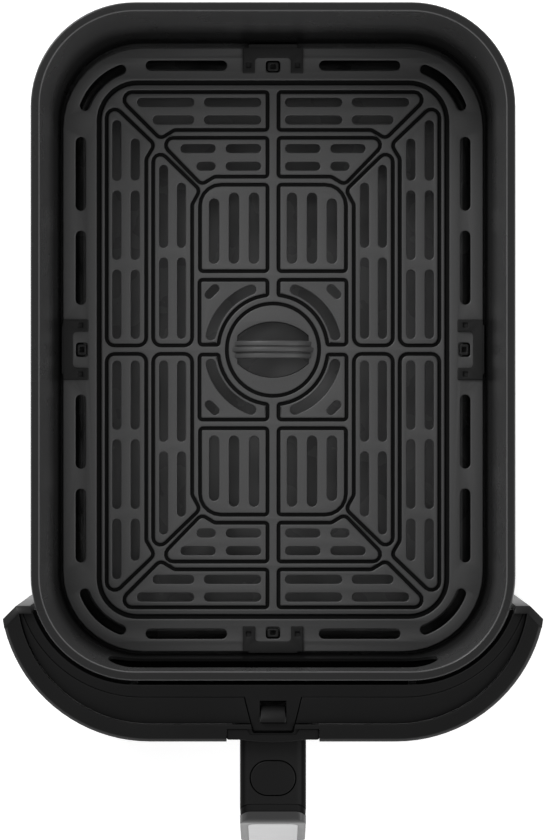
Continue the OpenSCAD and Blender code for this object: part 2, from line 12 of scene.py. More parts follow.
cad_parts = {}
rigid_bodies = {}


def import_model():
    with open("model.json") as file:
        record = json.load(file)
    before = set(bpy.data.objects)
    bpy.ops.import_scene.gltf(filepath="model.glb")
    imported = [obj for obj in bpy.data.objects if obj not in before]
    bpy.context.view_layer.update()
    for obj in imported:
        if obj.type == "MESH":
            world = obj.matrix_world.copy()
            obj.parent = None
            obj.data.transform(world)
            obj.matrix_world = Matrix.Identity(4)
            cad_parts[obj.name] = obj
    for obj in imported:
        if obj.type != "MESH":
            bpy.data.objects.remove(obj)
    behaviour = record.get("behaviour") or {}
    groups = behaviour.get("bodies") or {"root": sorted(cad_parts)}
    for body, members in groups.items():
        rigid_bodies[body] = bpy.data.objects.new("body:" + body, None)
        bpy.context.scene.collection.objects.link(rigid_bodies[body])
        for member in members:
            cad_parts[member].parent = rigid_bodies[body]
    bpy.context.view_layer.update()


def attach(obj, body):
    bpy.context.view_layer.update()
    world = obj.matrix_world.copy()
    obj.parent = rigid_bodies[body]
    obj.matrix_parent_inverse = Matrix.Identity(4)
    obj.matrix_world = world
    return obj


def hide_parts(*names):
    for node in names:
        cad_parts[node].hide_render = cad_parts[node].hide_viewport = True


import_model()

log = logging.getLogger("drawer")

MM = 0.001
Point = tuple[float, float]
Loop = list[Point]
Corner = tuple[float, float, float]


class Quarter(Enum):
    """The four mirror images of a shape drawn in the rear left quarter."""

    REAR_LEFT = (1, 1)
    REAR_RIGHT = (-1, 1)
    FRONT_LEFT = (1, -1)
    FRONT_RIGHT = (-1, -1)


class Weave(Enum):
    """How the fine relief of a finish runs."""

    GRAIN = "grain"
    BRUSHED = "brushed"
    SPECKLED = "speckled"


# ---- outlines, in millimetres -------------------------------------------------------------


def arc(centre: Point, radius: float, start: float, end: float, steps: int = 12) -> Loop:
    """Points along an arc.

    Args:
        centre: The arc's centre.
        radius: Its radius.
        start: The first angle, in degrees.
        end: The last angle, in degrees.
        steps: How many straight pieces it has.

    Returns:
        The points, both ends included.
    """
    angles = [math.radians(start + (end - start) * i / steps) for i in range(steps + 1)]
    return [(centre[0] + radius * math.cos(a), centre[1] + radius * math.sin(a)) for a in angles]


def turned(loop: Loop, degrees: float) -> Loop:
    """The loop turned about the origin."""
    c, s = math.cos(math.radians(degrees)), math.sin(math.radians(degrees))
    return [(x * c - y * s, x * s + y * c) for x, y in loop]


def moved(loop: Loop, dx: float, dy: float) -> Loop:
    """The loop moved by a step."""
    return [(x + dx, y + dy) for x, y in loop]


def mirrored(loop: Loop, quarter: Quarter) -> Loop:
    """The loop in another quarter."""
    sx, sy = quarter.value
    return [(x * sx, y * sy) for x, y in loop]


def signed_area(loop: Loop | list[Corner]) -> float:
    """Twice the area inside a loop, positive if it runs anticlockwise."""
    return sum(a[0] * b[1] - b[0] * a[1] for a, b in zip(loop, loop[1:] + loop[:1]))


def rounded(corners: list[Corner], grow: float = 0.0, steps: int = 5) -> Loop:
    """An outline with round corners, grown outwards.

    Args:
        corners: x, y and the corner's radius for each corner.
        grow: How far each side moves outwards. Negative draws the outline in.
        steps: Straight pieces in each round corner.

    Returns:
        The closed outline's points, anticlockwise.
    """
    if signed_area(corners) < 0:
        corners = corners[::-1]
    count = len(corners)
    sides = []
    for i, (x, y, _) in enumerate(corners):
        nx, ny, _ = corners[(i + 1) % count]
        along = Vector((nx - x, ny - y)).normalized()
        out = Vector((along.y, -along.x))
        sides.append((Vector((x, y)) + out * grow, along))
    loop: Loop = []
    for i, (_, _, radius) in enumerate(corners):
        (p, a), (q, b) = sides[i - 1], sides[i]
        turn = a.x * b.y - a.y * b.x
        if abs(turn) < 1e-6:
            loop.append((q.x, q.y))
            continue
        meet = p + a * ((q - p).x * b.y - (q - p).y * b.x) / turn
        size = max(radius + (grow if turn > 0 else -grow), 0.05)
        half = math.atan2(turn, a.dot(b)) / 2
        back = abs(size * math.tan(half))
        normal = Vector((-a.y, a.x)) * (1 if turn > 0 else -1)
        centre = meet - a * back + normal * size
        first = math.degrees(math.atan2(-normal.y, -normal.x))
        loop += arc((centre.x, centre.y), size, first, first + math.degrees(2 * half), steps)
    return loop


def box_loop(w: float, l: float, r: float, grow: float = 0.0, steps: int = 12) -> Loop:
    """A rounded rectangle about the origin."""
    x, y = w / 2, l / 2
    return rounded([(-x, -y, r), (x, -y, r), (x, y, r), (-x, y, r)], grow, steps)


def slot_loop(a: Point, b: Point, width: float, steps: int = 6) -> Loop:
    """A slot with round ends that reaches from a to b."""
    run = Vector(b) - Vector(a)
    half = width / 2
    flat = arc((half, 0), half, 90, 270, steps) + arc((run.length - half, 0), half, -90, 90, steps)
    return moved(turned(flat, math.degrees(math.atan2(run.y, run.x))), *a)


def arc_slot_loop(radius: float, width: float, start: float, end: float) -> Loop:
    """A curved slot with round ends about the origin."""
    half = width / 2
    tip, tail = arc((0, 0), radius, end, end, 1)[0], arc((0, 0), radius, start, start, 1)[0]
    return (arc((0, 0), radius + half, start, end) + arc(tip, half, end, end + 180, 6)[1:-1]
            + arc((0, 0), radius - half, end, start) + arc(tail, half, start + 180, start + 360, 6)[1:-1])


# ---- meshes -------------------------------------------------------------------------------


def slab(loops: list[Loop], low: float, high: float, edge: float = 0.4, steps: int = 2) -> bpy.types.Mesh:
    """A flat piece with round edges: the first loop is its outline, and the others are holes.

    Args:
        loops: Closed outlines seen from above, in millimetres.
        low: Height of the underside.
        high: Height of the top.
        edge: Radius of the rounding along every edge.
        steps: How finely the rounding is drawn.

    Returns:
        The mesh, in metres.
    """
    curve = bpy.data.curves.new("slab", "CURVE")
    curve.dimensions, curve.fill_mode = "2D", "BOTH"
    curve.extrude = ((high - low) / 2 - edge) * MM
    curve.bevel_depth, curve.bevel_resolution, curve.offset = edge * MM, steps, -edge * MM
    for loop in loops:
        spline = curve.splines.new("POLY")
        spline.points.add(len(loop) - 1)
        spline.use_cyclic_u = True
        for point, (x, y) in zip(spline.points, loop):
            point.co = (x * MM, y * MM, 0, 1)
    holder = bpy.data.objects.new("slab", curve)
    bpy.context.scene.collection.objects.link(holder)
    mesh = bpy.data.meshes.new_from_object(holder.evaluated_get(bpy.context.evaluated_depsgraph_get()))
    bpy.data.objects.remove(holder)
    bpy.data.curves.remove(curve)
    mesh.transform(Matrix.Translation((0, 0, (low + high) / 2 * MM)))
    return mesh


SIDEWAYS = Matrix(((0, 0, 1, 0), (1, 0, 0, 0), (0, 1, 0, 0), (0, 0, 0, 1)))
UPRIGHT = Matrix(((1, 0, 0, 0), (0, 0, 1, 0), (0, 1, 0, 0), (0, 0, 0, 1)))
TIPPED = Matrix.Rotation(math.radians(90), 4, "X")


def side_slab(loops: list[Loop], width: float, edge: float, steps: int = 3,
              shift: float = 0.0) -> bpy.types.Mesh:
    """A slab whose outline is seen from the side, as (y, z), spread over a width along X."""
    mesh = slab(loops, shift - width / 2, shift + width / 2, edge, steps)
    mesh.transform(SIDEWAYS)
    return mesh


class Piece:
    """One visible piece: meshes are added to it, and then it is finished and dressed."""

    def __init__(self, name: str) -> None:
        """Starts an empty piece."""
        self.name = name
        self.bm = bmesh.new()

    def add(self, mesh: bpy.types.Mesh, matrix: Matrix | None = None) -> "Piece":
        """Adds a mesh, moved by a matrix, with its doubles merged and its faces outwards."""
        part = bmesh.new()
        part.from_mesh(mesh)
        bpy.data.meshes.remove(mesh)
        if matrix is not None:
            bmesh.ops.transform(part, matrix=matrix, verts=part.verts)
        return self.take(part)

    def take(self, part: bmesh.types.BMesh) -> "Piece":
        """Adds a bmesh and frees it."""
        bmesh.ops.remove_doubles(part, verts=part.verts, dist=0.004 * MM)
        bmesh.ops.dissolve_degenerate(part, edges=part.edges, dist=0.001 * MM)
        bmesh.ops.recalc_face_normals(part, faces=part.faces)
        mesh = bpy.data.meshes.new("part")
        part.to_mesh(mesh)
        part.free()
        self.bm.from_mesh(mesh)
        bpy.data.meshes.remove(mesh)
        return self

    def finish(self, finish: "Finish", body: str, *nodes: str, sharp: float = 38.0) -> bpy.types.Object:
        """Makes the object, gives it its finish and puts it on its body.

        Args:
            finish: The finish it gets.
            body: The CAD body that it rides on.
            nodes: The CAD nodes that it stands for.
            sharp: Edges that turn by more than this many degrees stay crisp.

        Returns:
            The object.
        """
        for face in self.bm.faces:
            face.smooth = True
        for edge in self.bm.edges:
            if len(edge.link_faces) != 2 or edge.calc_face_angle(0.0) > math.radians(sharp):
                edge.smooth = False
        mesh = bpy.data.meshes.new(self.name)
        self.bm.to_mesh(mesh)
        self.bm.free()
        mesh.materials.append(finish.material())
        obj = shown(self.name, mesh)
        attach(obj, body)
        if nodes:
            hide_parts(*nodes)
        log.info("%s: %d faces on %s", self.name, len(mesh.polygons), body)
        return obj


def shown(name: str, data: bpy.types.ID) -> bpy.types.Object:
    """A new object in the scene that shows the data."""
    obj = bpy.data.objects.new(name, data)
    bpy.context.scene.collection.objects.link(obj)
    return obj


def join(part: bmesh.types.BMesh, rings: list[list[bmesh.types.BMVert]], closed: bool) -> None:
    """Spans faces between rings of equally many points.

    Args:
        part: The mesh that they are in.
        rings: The rings, in order.
        closed: Whether each ring closes on itself.
    """
    for a, b in zip(rings, rings[1:]):
        for i in range(0 if closed else 1, len(a)):
            part.faces.new((a[i], a[i - 1], b[i - 1], b[i]))


def cut(piece: Piece, *cutters: bpy.types.Mesh) -> None:
    """Cuts closed meshes out of a piece.

    Args:
        piece: The piece to cut.
        cutters: The meshes to take away. They are used up.
    """
    mesh = bpy.data.meshes.new("cut")
    piece.bm.to_mesh(mesh)
    target = shown("cut", mesh)
    tools = []
    for cutter in cutters:
        tool = Piece("tool").add(cutter)
        tool_mesh = bpy.data.meshes.new("tool")
        tool.bm.to_mesh(tool_mesh)
        tool.bm.free()
        obj = shown("tool", tool_mesh)
        modifier = target.modifiers.new("cut", "BOOLEAN")
        modifier.operation, modifier.solver, modifier.object = "DIFFERENCE", "EXACT", obj
        tools.append(obj)
    result = bpy.data.meshes.new_from_object(target.evaluated_get(bpy.context.evaluated_depsgraph_get()))
    piece.bm.clear()
    piece.bm.from_mesh(result)
    bpy.data.meshes.remove(result)
    for obj in [target, *tools]:
        data = obj.data
        bpy.data.objects.remove(obj)
        bpy.data.meshes.remove(data)


# ---- finishes -----------------------------------------------------------------------------


def tone_ramp(tree: bpy.types.NodeTree, source: bpy.types.NodeSocket,
              stops: list[Point]) -> bpy.types.NodeSocket:
    """A grey ramp over a socket, from stops of (place, tone)."""
    ramp = tree.nodes.new("ShaderNodeValToRGB")
    for index, (at, tone) in enumerate(stops):
        stop = ramp.color_ramp.elements[index] if index < 2 else ramp.color_ramp.elements.new(at)
        stop.position, stop.color = at, (tone, tone, tone, 1)
    tree.links.new(source, ramp.inputs["Fac"])
    return ramp.outputs["Color"]


@dataclass(frozen=True)
class Finish:
    """A surface finish, made of a shader and a fine relief, and on some finishes painted shade and highlights
    by height.

    Attributes:
        slot: The record's material slot.
        color: Linear base colour.
        roughness: Mean roughness.
        spread: How far the roughness varies.
        metallic: 1 on bare metal.
        specular: Specular level of the shader.
        relief: Height of the fine relief, in millimetres.
        scale: Grains per metre.
        weave: How the relief runs.
        mottle: How far the colour varies, as a share.
        levels: Heights in millimetres with the shares of the colour and of the gloss there. They paint shade
            and highlights by height, standing in for how the light falls.
    """

    slot: str
    color: float
    roughness: float
    spread: float = 0.06
    metallic: float = 0.0
    specular: float = 0.5
    relief: float = 0.02
    scale: float = 900.0
    weave: Weave = Weave.GRAIN
    mottle: float = 0.12
    levels: tuple[tuple[float, float, float], ...] = ()

    def material(self) -> bpy.types.Material:
        """The finish's material, made once."""
        known = bpy.data.materials.get(f"{self.slot}_finish")
        if known:
            return known
        made = bpy.data.materials.new(f"{self.slot}_finish")
        made.use_nodes = True
        tree = made.node_tree
        shader = next(n for n in tree.nodes if n.type == "BSDF_PRINCIPLED")
        shader.inputs["Metallic"].default_value = self.metallic
        shader.inputs["Specular IOR Level"].default_value = self.specular
        place = tree.nodes.new("ShaderNodeTexCoord").outputs["Object"]
        if self.weave is Weave.BRUSHED:
            stretch = tree.nodes.new("ShaderNodeMapping")
            stretch.inputs["Scale"].default_value = (0.012, 1.0, 1.0)
            tree.links.new(place, stretch.inputs["Vector"])
            place_fine = stretch.outputs["Vector"]
        else:
            place_fine = place
        fine = self.noise(tree, place_fine, self.scale, 3.0)
        broad = self.noise(tree, place, 22.0, 4.0)
        self.link_range(tree, broad, shader.inputs["Roughness"], self.roughness - self.spread,
                        self.roughness + self.spread)
        self.link_color(tree, place, fine, broad, shader)
        bump = tree.nodes.new("ShaderNodeBump")
        bump.inputs["Distance"].default_value = self.relief * MM
        bump.inputs["Strength"].default_value = 0.6
        tree.links.new(fine, bump.inputs["Height"])
        tree.links.new(bump.outputs["Normal"], shader.inputs["Normal"])
        return made

    @staticmethod
    def noise(tree: bpy.types.NodeTree, place: bpy.types.NodeSocket, scale: float,
              detail: float) -> bpy.types.NodeSocket:
        """A noise of that many grains per metre."""
        node = tree.nodes.new("ShaderNodeTexNoise")
        node.inputs["Scale"].default_value = scale
        node.inputs["Detail"].default_value = detail
        tree.links.new(place, node.inputs["Vector"])
        return node.outputs["Fac"]

    @staticmethod
    def link_range(tree: bpy.types.NodeTree, source: bpy.types.NodeSocket, target: bpy.types.NodeSocket,
                   low: float, high: float) -> None:
        """Links a noise to a socket, spread from low to high."""
        node = tree.nodes.new("ShaderNodeMapRange")
        node.inputs["From Min"].default_value, node.inputs["From Max"].default_value = 0.3, 0.7
        node.inputs["To Min"].default_value, node.inputs["To Max"].default_value = low, high
        tree.links.new(source, node.inputs["Value"])
        tree.links.new(node.outputs["Result"], target)

    def ramp(self, tree: bpy.types.NodeTree, height: bpy.types.NodeSocket,
             column: int) -> bpy.types.NodeSocket:
        """One column of the levels as a ramp over the height, which paints shade and highlights."""
        reach = self.levels[-1][0] * MM
        share = tree.nodes.new("ShaderNodeMath")
        share.operation = "DIVIDE"
        share.inputs[1].default_value = reach
        tree.links.new(height, share.inputs[0])
        stops = [(level[0] * MM / reach, level[column]) for level in self.levels]
        return tone_ramp(tree, share.outputs["Value"], stops)

    def link_color(self, tree: bpy.types.NodeTree, place: bpy.types.NodeSocket, fine: bpy.types.NodeSocket,
                   broad: bpy.types.NodeSocket, shader: bpy.types.ShaderNode) -> None:
        """Mottles the colour, and where the finish has levels scales it and the gloss by height, which paints
        shade and highlights.
        """
        mix = tree.nodes.new("ShaderNodeMix")
        mix.data_type = "RGBA"
        for socket, share in ((6, 1 - self.mottle), (7, 1 + self.mottle)):
            tone = self.color * share
            mix.inputs[socket].default_value = (tone, tone, tone * 1.01, 1)
        tree.links.new(fine if self.weave is not Weave.GRAIN else broad, mix.inputs[0])
        out = mix.outputs[2]
        # Painted light: colour and gloss are scaled by height, painting shade low down and highlights higher
        # up.
        if self.levels:
            axes = tree.nodes.new("ShaderNodeSeparateXYZ")
            tree.links.new(place, axes.inputs["Vector"])
            shade = tree.nodes.new("ShaderNodeMix")
            shade.data_type, shade.blend_type = "RGBA", "MULTIPLY"
            shade.inputs[0].default_value = 1.0
            tree.links.new(out, shade.inputs[6])
            tree.links.new(self.ramp(tree, axes.outputs["Z"], 1), shade.inputs[7])
            out = shade.outputs[2]
            gloss = tree.nodes.new("ShaderNodeMath")
            gloss.operation = "MULTIPLY"
            gloss.inputs[1].default_value = self.specular
            tree.links.new(self.ramp(tree, axes.outputs["Z"], 2), gloss.inputs[0])
            tree.links.new(gloss.outputs["Value"], shader.inputs["Specular IOR Level"])
        tree.links.new(out, shader.inputs["Base Color"])


# Painted shade and highlights by height inside the pan: the lower walls are darkened most, the ledge and
# upper walls are lightened, and a bright band is painted on the rim's rounded edges.
PAN_COATING = Finish("nonstick_pan", 0.14, 0.27, 0.03, specular=0.5, relief=0.004, scale=700, mottle=0.08,
                     levels=((2.0, 1.0, 1.0), (2.4, 0.06, 0.5), (24.0, 0.06, 0.3), (25.7, 0.45, 0.8),
                             (26.3, 0.45, 0.8), (28.0, 0.03, 0.06), (52.0, 0.06, 0.15), (74.0, 0.40, 0.9),
                             (99.0, 0.40, 1.0), (103.6, 0.40, 1.0), (104.2, 1.0, 1.0), (104.6, 1.0, 1.0),
                             (104.9, 0.10, 0.8)))
PAN_OUTSIDE = Finish("nonstick_pan_outside", 0.018, 0.34, 0.03, specular=0.4, relief=0.004, scale=700)
# Painted shade: below 29.1 mm the plate is darkened and loses most of its gloss, so the groove floors and
# slot walls read as shaded. It ramps up to full tone at 29.5 mm.
PLATE_COATING = Finish("nonstick_plate", 0.071, 0.42, 0.05, relief=0.012, scale=1500,
                       weave=Weave.SPECKLED, mottle=0.14,
                       levels=((29.1, 0.13, 0.05), (29.5, 1.0, 1.0), (41.0, 1.0, 1.0)))
SILICONE = Finish("silicone", 0.010, 0.62, 0.05, specular=0.35, relief=0.01, scale=1200)
# Near-black steel with no sheen: partly its black paint and partly painted shade, so the vent in the pan's
# front wall and the gap over the pan bracket read as dark shaded openings.
SHADE_BLACK_STEEL = Finish("black_steel", 0.0012, 0.9, 0.03, specular=0.0, relief=0.01, scale=900)
ZINC = Finish("zinc_steel", 0.55, 0.34, 0.07, metallic=1.0, relief=0.006, scale=1400)
FRONT_PLASTIC = Finish("front_plastic", 0.0068, 0.46, 0.04, specular=0.12, relief=0.012, scale=1800)
SHELL_PLASTIC = Finish("shell_plastic", 0.0052, 0.36, 0.04, specular=0.22, relief=0.006, scale=1600)
# Painted shade by height: the handle's shoulders and sides below its top face are darkened and lose gloss,
# darkest about 95.5 mm up. The top face is full tone.
HANDLE_PLASTIC = Finish("handle_plastic", 0.0100, 0.42, 0.04, specular=0.14, relief=0.010, scale=1800,
                        levels=((90.0, 0.7, 0.6), (95.5, 0.4, 0.15), (99.0, 0.5, 0.2), (99.85, 1.0, 1.0)))
BEZEL_PAINT = Finish("bezel_satin", 0.034, 0.38, 0.04, relief=0.008, scale=1500)
INSERT_STEEL = Finish("brushed_insert", 0.37, 0.34, 0.05, metallic=1.0, relief=0.02, scale=2600,
                      weave=Weave.BRUSHED, mottle=0.06)
BUTTON_PLASTIC = Finish("button_plastic", 0.0076, 0.42, 0.04, specular=0.14, relief=0.008, scale=1800)


# ---- crisper plate ------------------------------------------------------------------------


@dataclass
class CrisperPlate:
    """The lift-out plate: a slotted sheet with raised cells, a border and an arched finger bar."""

    width: float = 230.0
    length: float = 330.6
    corner: float = 44.0
    middle_y: float = -2.2
    low: float = 28.0
    top: float = 30.2
    floor: float = 28.5
    groove: float = 1.0
    slot: float = 4.7
    border_slot: float = 5.5
    slot_inset: float = 9.6
    plug_inset: float = 10.2
    hub: float = 25.3
    bar_width: float = 9.6
    bar_rise: float = 9.0
    bar_root: float = 21.0
    field_x: float = 95.3
    field_y: float = 146.2
    clip: float = 33.0
    soft: float = 0.55

    def cells(self) -> list[tuple[list[Corner], list[Loop]]]:
        """The cells of one quarter: each has its outline's corners and its slots."""
        s, b = self.slot, self.border_slot
        return [
            ([(-3, 141.2, 1.6), (-3, 120.4, 1.6), (-54, 120.4, 4), (-61.8, 115.6, 3.4),
              (-87.5, 141.2, 4.2)],
             [slot_loop((x0, y), (x1, y), s) for y, x0, x1 in
              ((135.6, -74.5, -43.3), (135.6, -37.8, -6.6),
               (125.9, -65.9, -43.3), (125.9, -37.8, -6.6))]),
            ([(-91.2, 2.3, 4.4), (-69.5, 2.3, 4.4), (-69.5, 104.6, 4), (-64.9, 112.4, 3.4),
              (-91.2, 137.6, 4.4)],
             [slot_loop((x, y0), (x, y1), s) for x, y0, y1 in
              ((-85.7, 92.7, 125.7), (-85.7, 49.2, 87.2), (-85.7, 6, 43.8),
               (-75.6, 92.7, 115.6), (-75.6, 49.2, 87.2), (-75.6, 6, 43.8))]),
            ([(-3, 116.1, 1.6), (-3, 94.8, 1.6), (-32, 94.8, 4), (-39.2, 90.4, 3.4), (-64.2, 116.1, 4.0)],
             [slot_loop((x0, y), (x1, y), s) for y, x0, x1 in
              ((110.2, -50.7, -31.5), (110.2, -25.9, -6.6),
               (100.5, -41.9, -31.5), (100.5, -25.9, -6.6))]),
            ([(-65.7, 2.3, 4.4), (-44.3, 2.3, 4.4), (-44.3, 79.6, 4), (-40.0, 87.4, 3.4),
              (-65.7, 112.4, 4.0)],
             [slot_loop((x, y0), (x, y1), s) for x, y0, y1 in
              ((-60, 55.8, 101.2), (-60, 6, 50.4), (-50.2, 55.8, 91.4), (-50.2, 6, 50.4))]),
            ([(-3, 90.4, 1.8), (-3, 43.0, 1.8), (-40.0, 43.0, 1.8), (-40.0, 90.4, 11.5)],
             [slot_loop((x, 47.1), (x, y), b) for x, y in ((-32.3, 82.8), (-21.4, 86), (-10.4, 86))]),
            ([(-3, 38.3, 1.8), (-3, 29.9, 1.0)]
             + [(x, y, 0.3) for x, y in arc((0, 0), 30.0, 101, 169, 10)]
             + [(-29.9, 2.7, 1.0), (-40.3, 2.7, 1.8), (-40.3, 38.3, 1.8)],
             [arc_slot_loop(35, b, 110, 167), slot_loop((-36.7, 28.5), (-30.1, 35.1), s)]),
        ]

    def border_slots(self) -> list[Loop]:
        """The slots along the plate's edge."""
        inset, w = self.slot_inset, self.border_slot
        x, y = self.width / 2 - inset, self.length / 2 - inset
        quarter = [slot_loop((-x, 76.1), (-x, 116.6), w), slot_loop((-x, 24.6), (-x, 65.2), w),
                   slot_loop((-69.8, y), (-25.2, y), w),
                   moved(arc_slot_loop(self.corner - inset, w, 111, 159),
                         self.corner - self.width / 2, self.length / 2 - self.corner)]
        return [mirrored(loop, q) for q in Quarter for loop in quarter]

    def outline(self) -> Loop:
        """The plate's edge, with a notch for each clip."""
        x, y, n, h, r = self.width / 2, self.length / 2, 4.0, self.clip / 2 - 3, self.corner
        side = [(-x, -y, r), (-h, -y, 0.8), (-h, n - y, 0.8), (h, n - y, 0.8), (h, -y, 0.8), (x, -y, r),
                (x, -h, 0.8), (x - n, -h, 0.8), (x - n, h, 0.8), (x, h, 0.8)]
        back = [(-cx, -cy, r) for cx, cy, r in side]
        return rounded(side + back, steps=10)

    def plug_holes(self) -> list[Loop]:
        """The holes that the clips' plugs fill."""
        x, y = self.width / 2 - self.plug_inset, self.length / 2 - self.plug_inset
        tall, wide = box_loop(6.4, 7.8, 1.6, steps=4), box_loop(7.8, 6.4, 1.6, steps=4)
        return [moved(tall, -x, 0), moved(tall, x, 0), moved(wide, 0, -y), moved(wide, 0, y)]

    def opening(self, grow: float = 0.0) -> Loop:
        """The opening under the finger bar."""
        x, rise, r = 19.4, 15.3, 28.5
        half = math.degrees(math.asin(x / r))
        front = arc((0, r - rise), r, 270 - half, 270 + half, 12)
        return rounded([(px, py, 0.6) for px, py in front]
                       + [(-px, -py, 0.6) for px, py in front], grow, 2)

    def build(self) -> bpy.types.Object:
        """Builds the plate."""
        plate = Piece("crisper_plate_cast")
        place = Matrix.Translation((0, self.middle_y * MM, 0))
        quarter = self.cells()
        slots = [mirrored(loop, q) for q in Quarter for _, loops in quarter for loop in loops]
        holes = self.border_slots() + self.plug_holes() + [self.opening(-0.25)]
        field = [self.field_x * 2, self.field_y * 2, 21.0]
        plate.add(slab([self.outline(), *slots, *holes], self.low, self.floor + 0.3, 0.2, 0), place)
        plate.add(slab([self.outline(), box_loop(*field, 1.3), *self.border_slots(), *self.plug_holes()],
                       self.floor, self.top, self.soft), place)
        grooves = [mirrored(rounded(corners, self.groove), q) for q in Quarter for corners, _ in quarter]
        hub = arc((0, 0), self.hub + self.groove, 0, 360, 72)[:-1]
        plate.add(slab([box_loop(*field, -1.3), *grooves, hub], self.floor, self.top, self.soft), place)
        for q in Quarter:
            for corners, loops in quarter:
                pad = [mirrored(rounded(corners, -self.groove), q), *(mirrored(loop, q) for loop in loops)]
                plate.add(slab(pad, self.floor, self.top, self.soft), place)
        disc = arc((0, 0), self.hub - self.groove, 0, 360, 72)[:-1]
        plate.add(slab([disc, self.opening()], self.floor, self.top, self.soft), place)
        plate.take(self.bar())
        return plate.finish(PLATE_COATING, "crisper", "crisper_plate")

    def bar(self) -> bmesh.types.BMesh:
        """The arched bar, a beaded strip spun about an axis along Y."""
        reach = (self.bar_root ** 2 + self.bar_rise ** 2) / (2 * self.bar_rise)
        half = self.bar_width / 2
        top, low = reach, reach - 2.0
        section = [(-half, low, 0.6), (half, low, 0.6), (half, top, 0.8), (half - 2.5, top, 0.4),
                   (half - 3.1, top - 0.7, 0.4), (1.7, top - 0.7, 0.4), (1.1, top + 0.9, 0.8),
                   (-1.1, top + 0.9, 0.8), (-1.7, top - 0.7, 0.4), (3.1 - half, top - 0.7, 0.4),
                   (2.5 - half, top, 0.4), (-half, top, 0.8)]
        angle = math.asin((self.bar_root + 0.6) / reach)
        part = bmesh.new()
        ring = [part.verts.new((0, y * MM, r * MM)) for y, r in rounded(section, steps=3)]
        face = part.faces.new(ring)
        bmesh.ops.rotate(part, verts=part.verts, matrix=Matrix.Rotation(-angle, 3, "Y"))
        bmesh.ops.spin(part, geom=[face], axis=(0, 1, 0), cent=(0, 0, 0), angle=2 * angle, steps=28,
                       use_duplicate=False)
        lift = (self.top + self.bar_rise - reach) * MM
        bmesh.ops.translate(part, verts=part.verts, vec=(0, self.middle_y * MM, lift))
        return part


@dataclass
class SiliconeClips:
    """The four clips that hold the plate off the pan's walls and ledge."""

    plate: CrisperPlate
    length: float = 33.0
    reach: float = 14.0
    strip: float = 5.6
    arm: float = 6.6
    skin: float = 1.3
    ledge: float = 26.05

    def build(self) -> list[bpy.types.Object]:
        """Builds the four clips."""
        x, y = self.plate.width / 2, self.plate.length / 2
        places = {"front": (0, -y, 0, 0.8), "rear": (0, y, 180, 2.0), "left": (-x, 0, -90, 0.8),
                  "right": (x, 0, 90, 0.8)}
        made = []
        for side, (px, py, turn, bump) in places.items():
            matrix = (Matrix.Translation((px * MM, (py + self.plate.middle_y) * MM, 0))
                      @ Matrix.Rotation(math.radians(turn), 4, "Z"))
            made.append(self.one(side, bump, matrix))
        return made

    def one(self, side: str, bump: float, matrix: Matrix) -> bpy.types.Object:
        """One clip, drawn for an edge along X with the plate on its +Y side.

        Args:
            side: Which side of the plate it is on.
            bump: How far it stands out towards the pan's wall.
            matrix: Where it goes.

        Returns:
            The clip.
        """
        h, arm = self.length / 2, self.arm
        top = self.plate.top
        yoke = rounded([(-h, 0, 0.5), (h, 0, 0.5), (h, self.reach, 0.5), (h - arm, self.reach, 0.5),
                        (h - arm, self.strip, 2.2), (arm - h, self.strip, 2.2), (arm - h, self.reach, 0.5),
                        (-h, self.reach, 0.5)])
        pocket = box_loop(2.7, 2.7, 0.5, steps=3)
        pockets = [moved(pocket, s * (h - arm / 2 + 0.2), 9.6) for s in (-1, 1)]
        body = rounded([(3 - h, -bump, 0.6), (h - 3, -bump, 0.6), (h - 3, 3.8, 0.6), (3 - h, 3.8, 0.6)])
        piece = Piece(f"clip_{side}")
        piece.add(slab([yoke, *pockets], top + 0.02, top + self.skin, 0.4), matrix)
        piece.add(slab([yoke], top + 0.01, top + 0.25, 0.05), matrix)
        piece.add(slab([yoke], self.ledge, self.plate.low - 0.02, 0.4), matrix)
        piece.add(slab([body], self.ledge + 0.1, top + self.skin - 0.05, 0.5), matrix)
        plug, dimple = box_loop(6.0, 4.8, 1.0, steps=3), box_loop(2.8, 2.4, 0.5, steps=3)
        plug, dimple = moved(plug, 0, self.plate.plug_inset), moved(dimple, 0, self.plate.plug_inset)
        piece.add(slab([plug, dimple], self.ledge + 0.1, top - 0.1, 0.4), matrix)
        piece.add(slab([plug], self.ledge, self.plate.low - 0.3, 0.2), matrix)
        return piece.finish(SILICONE, "crisper", f"foot_{side}")


# ---- pan ----------------------------------------------------------------------------------


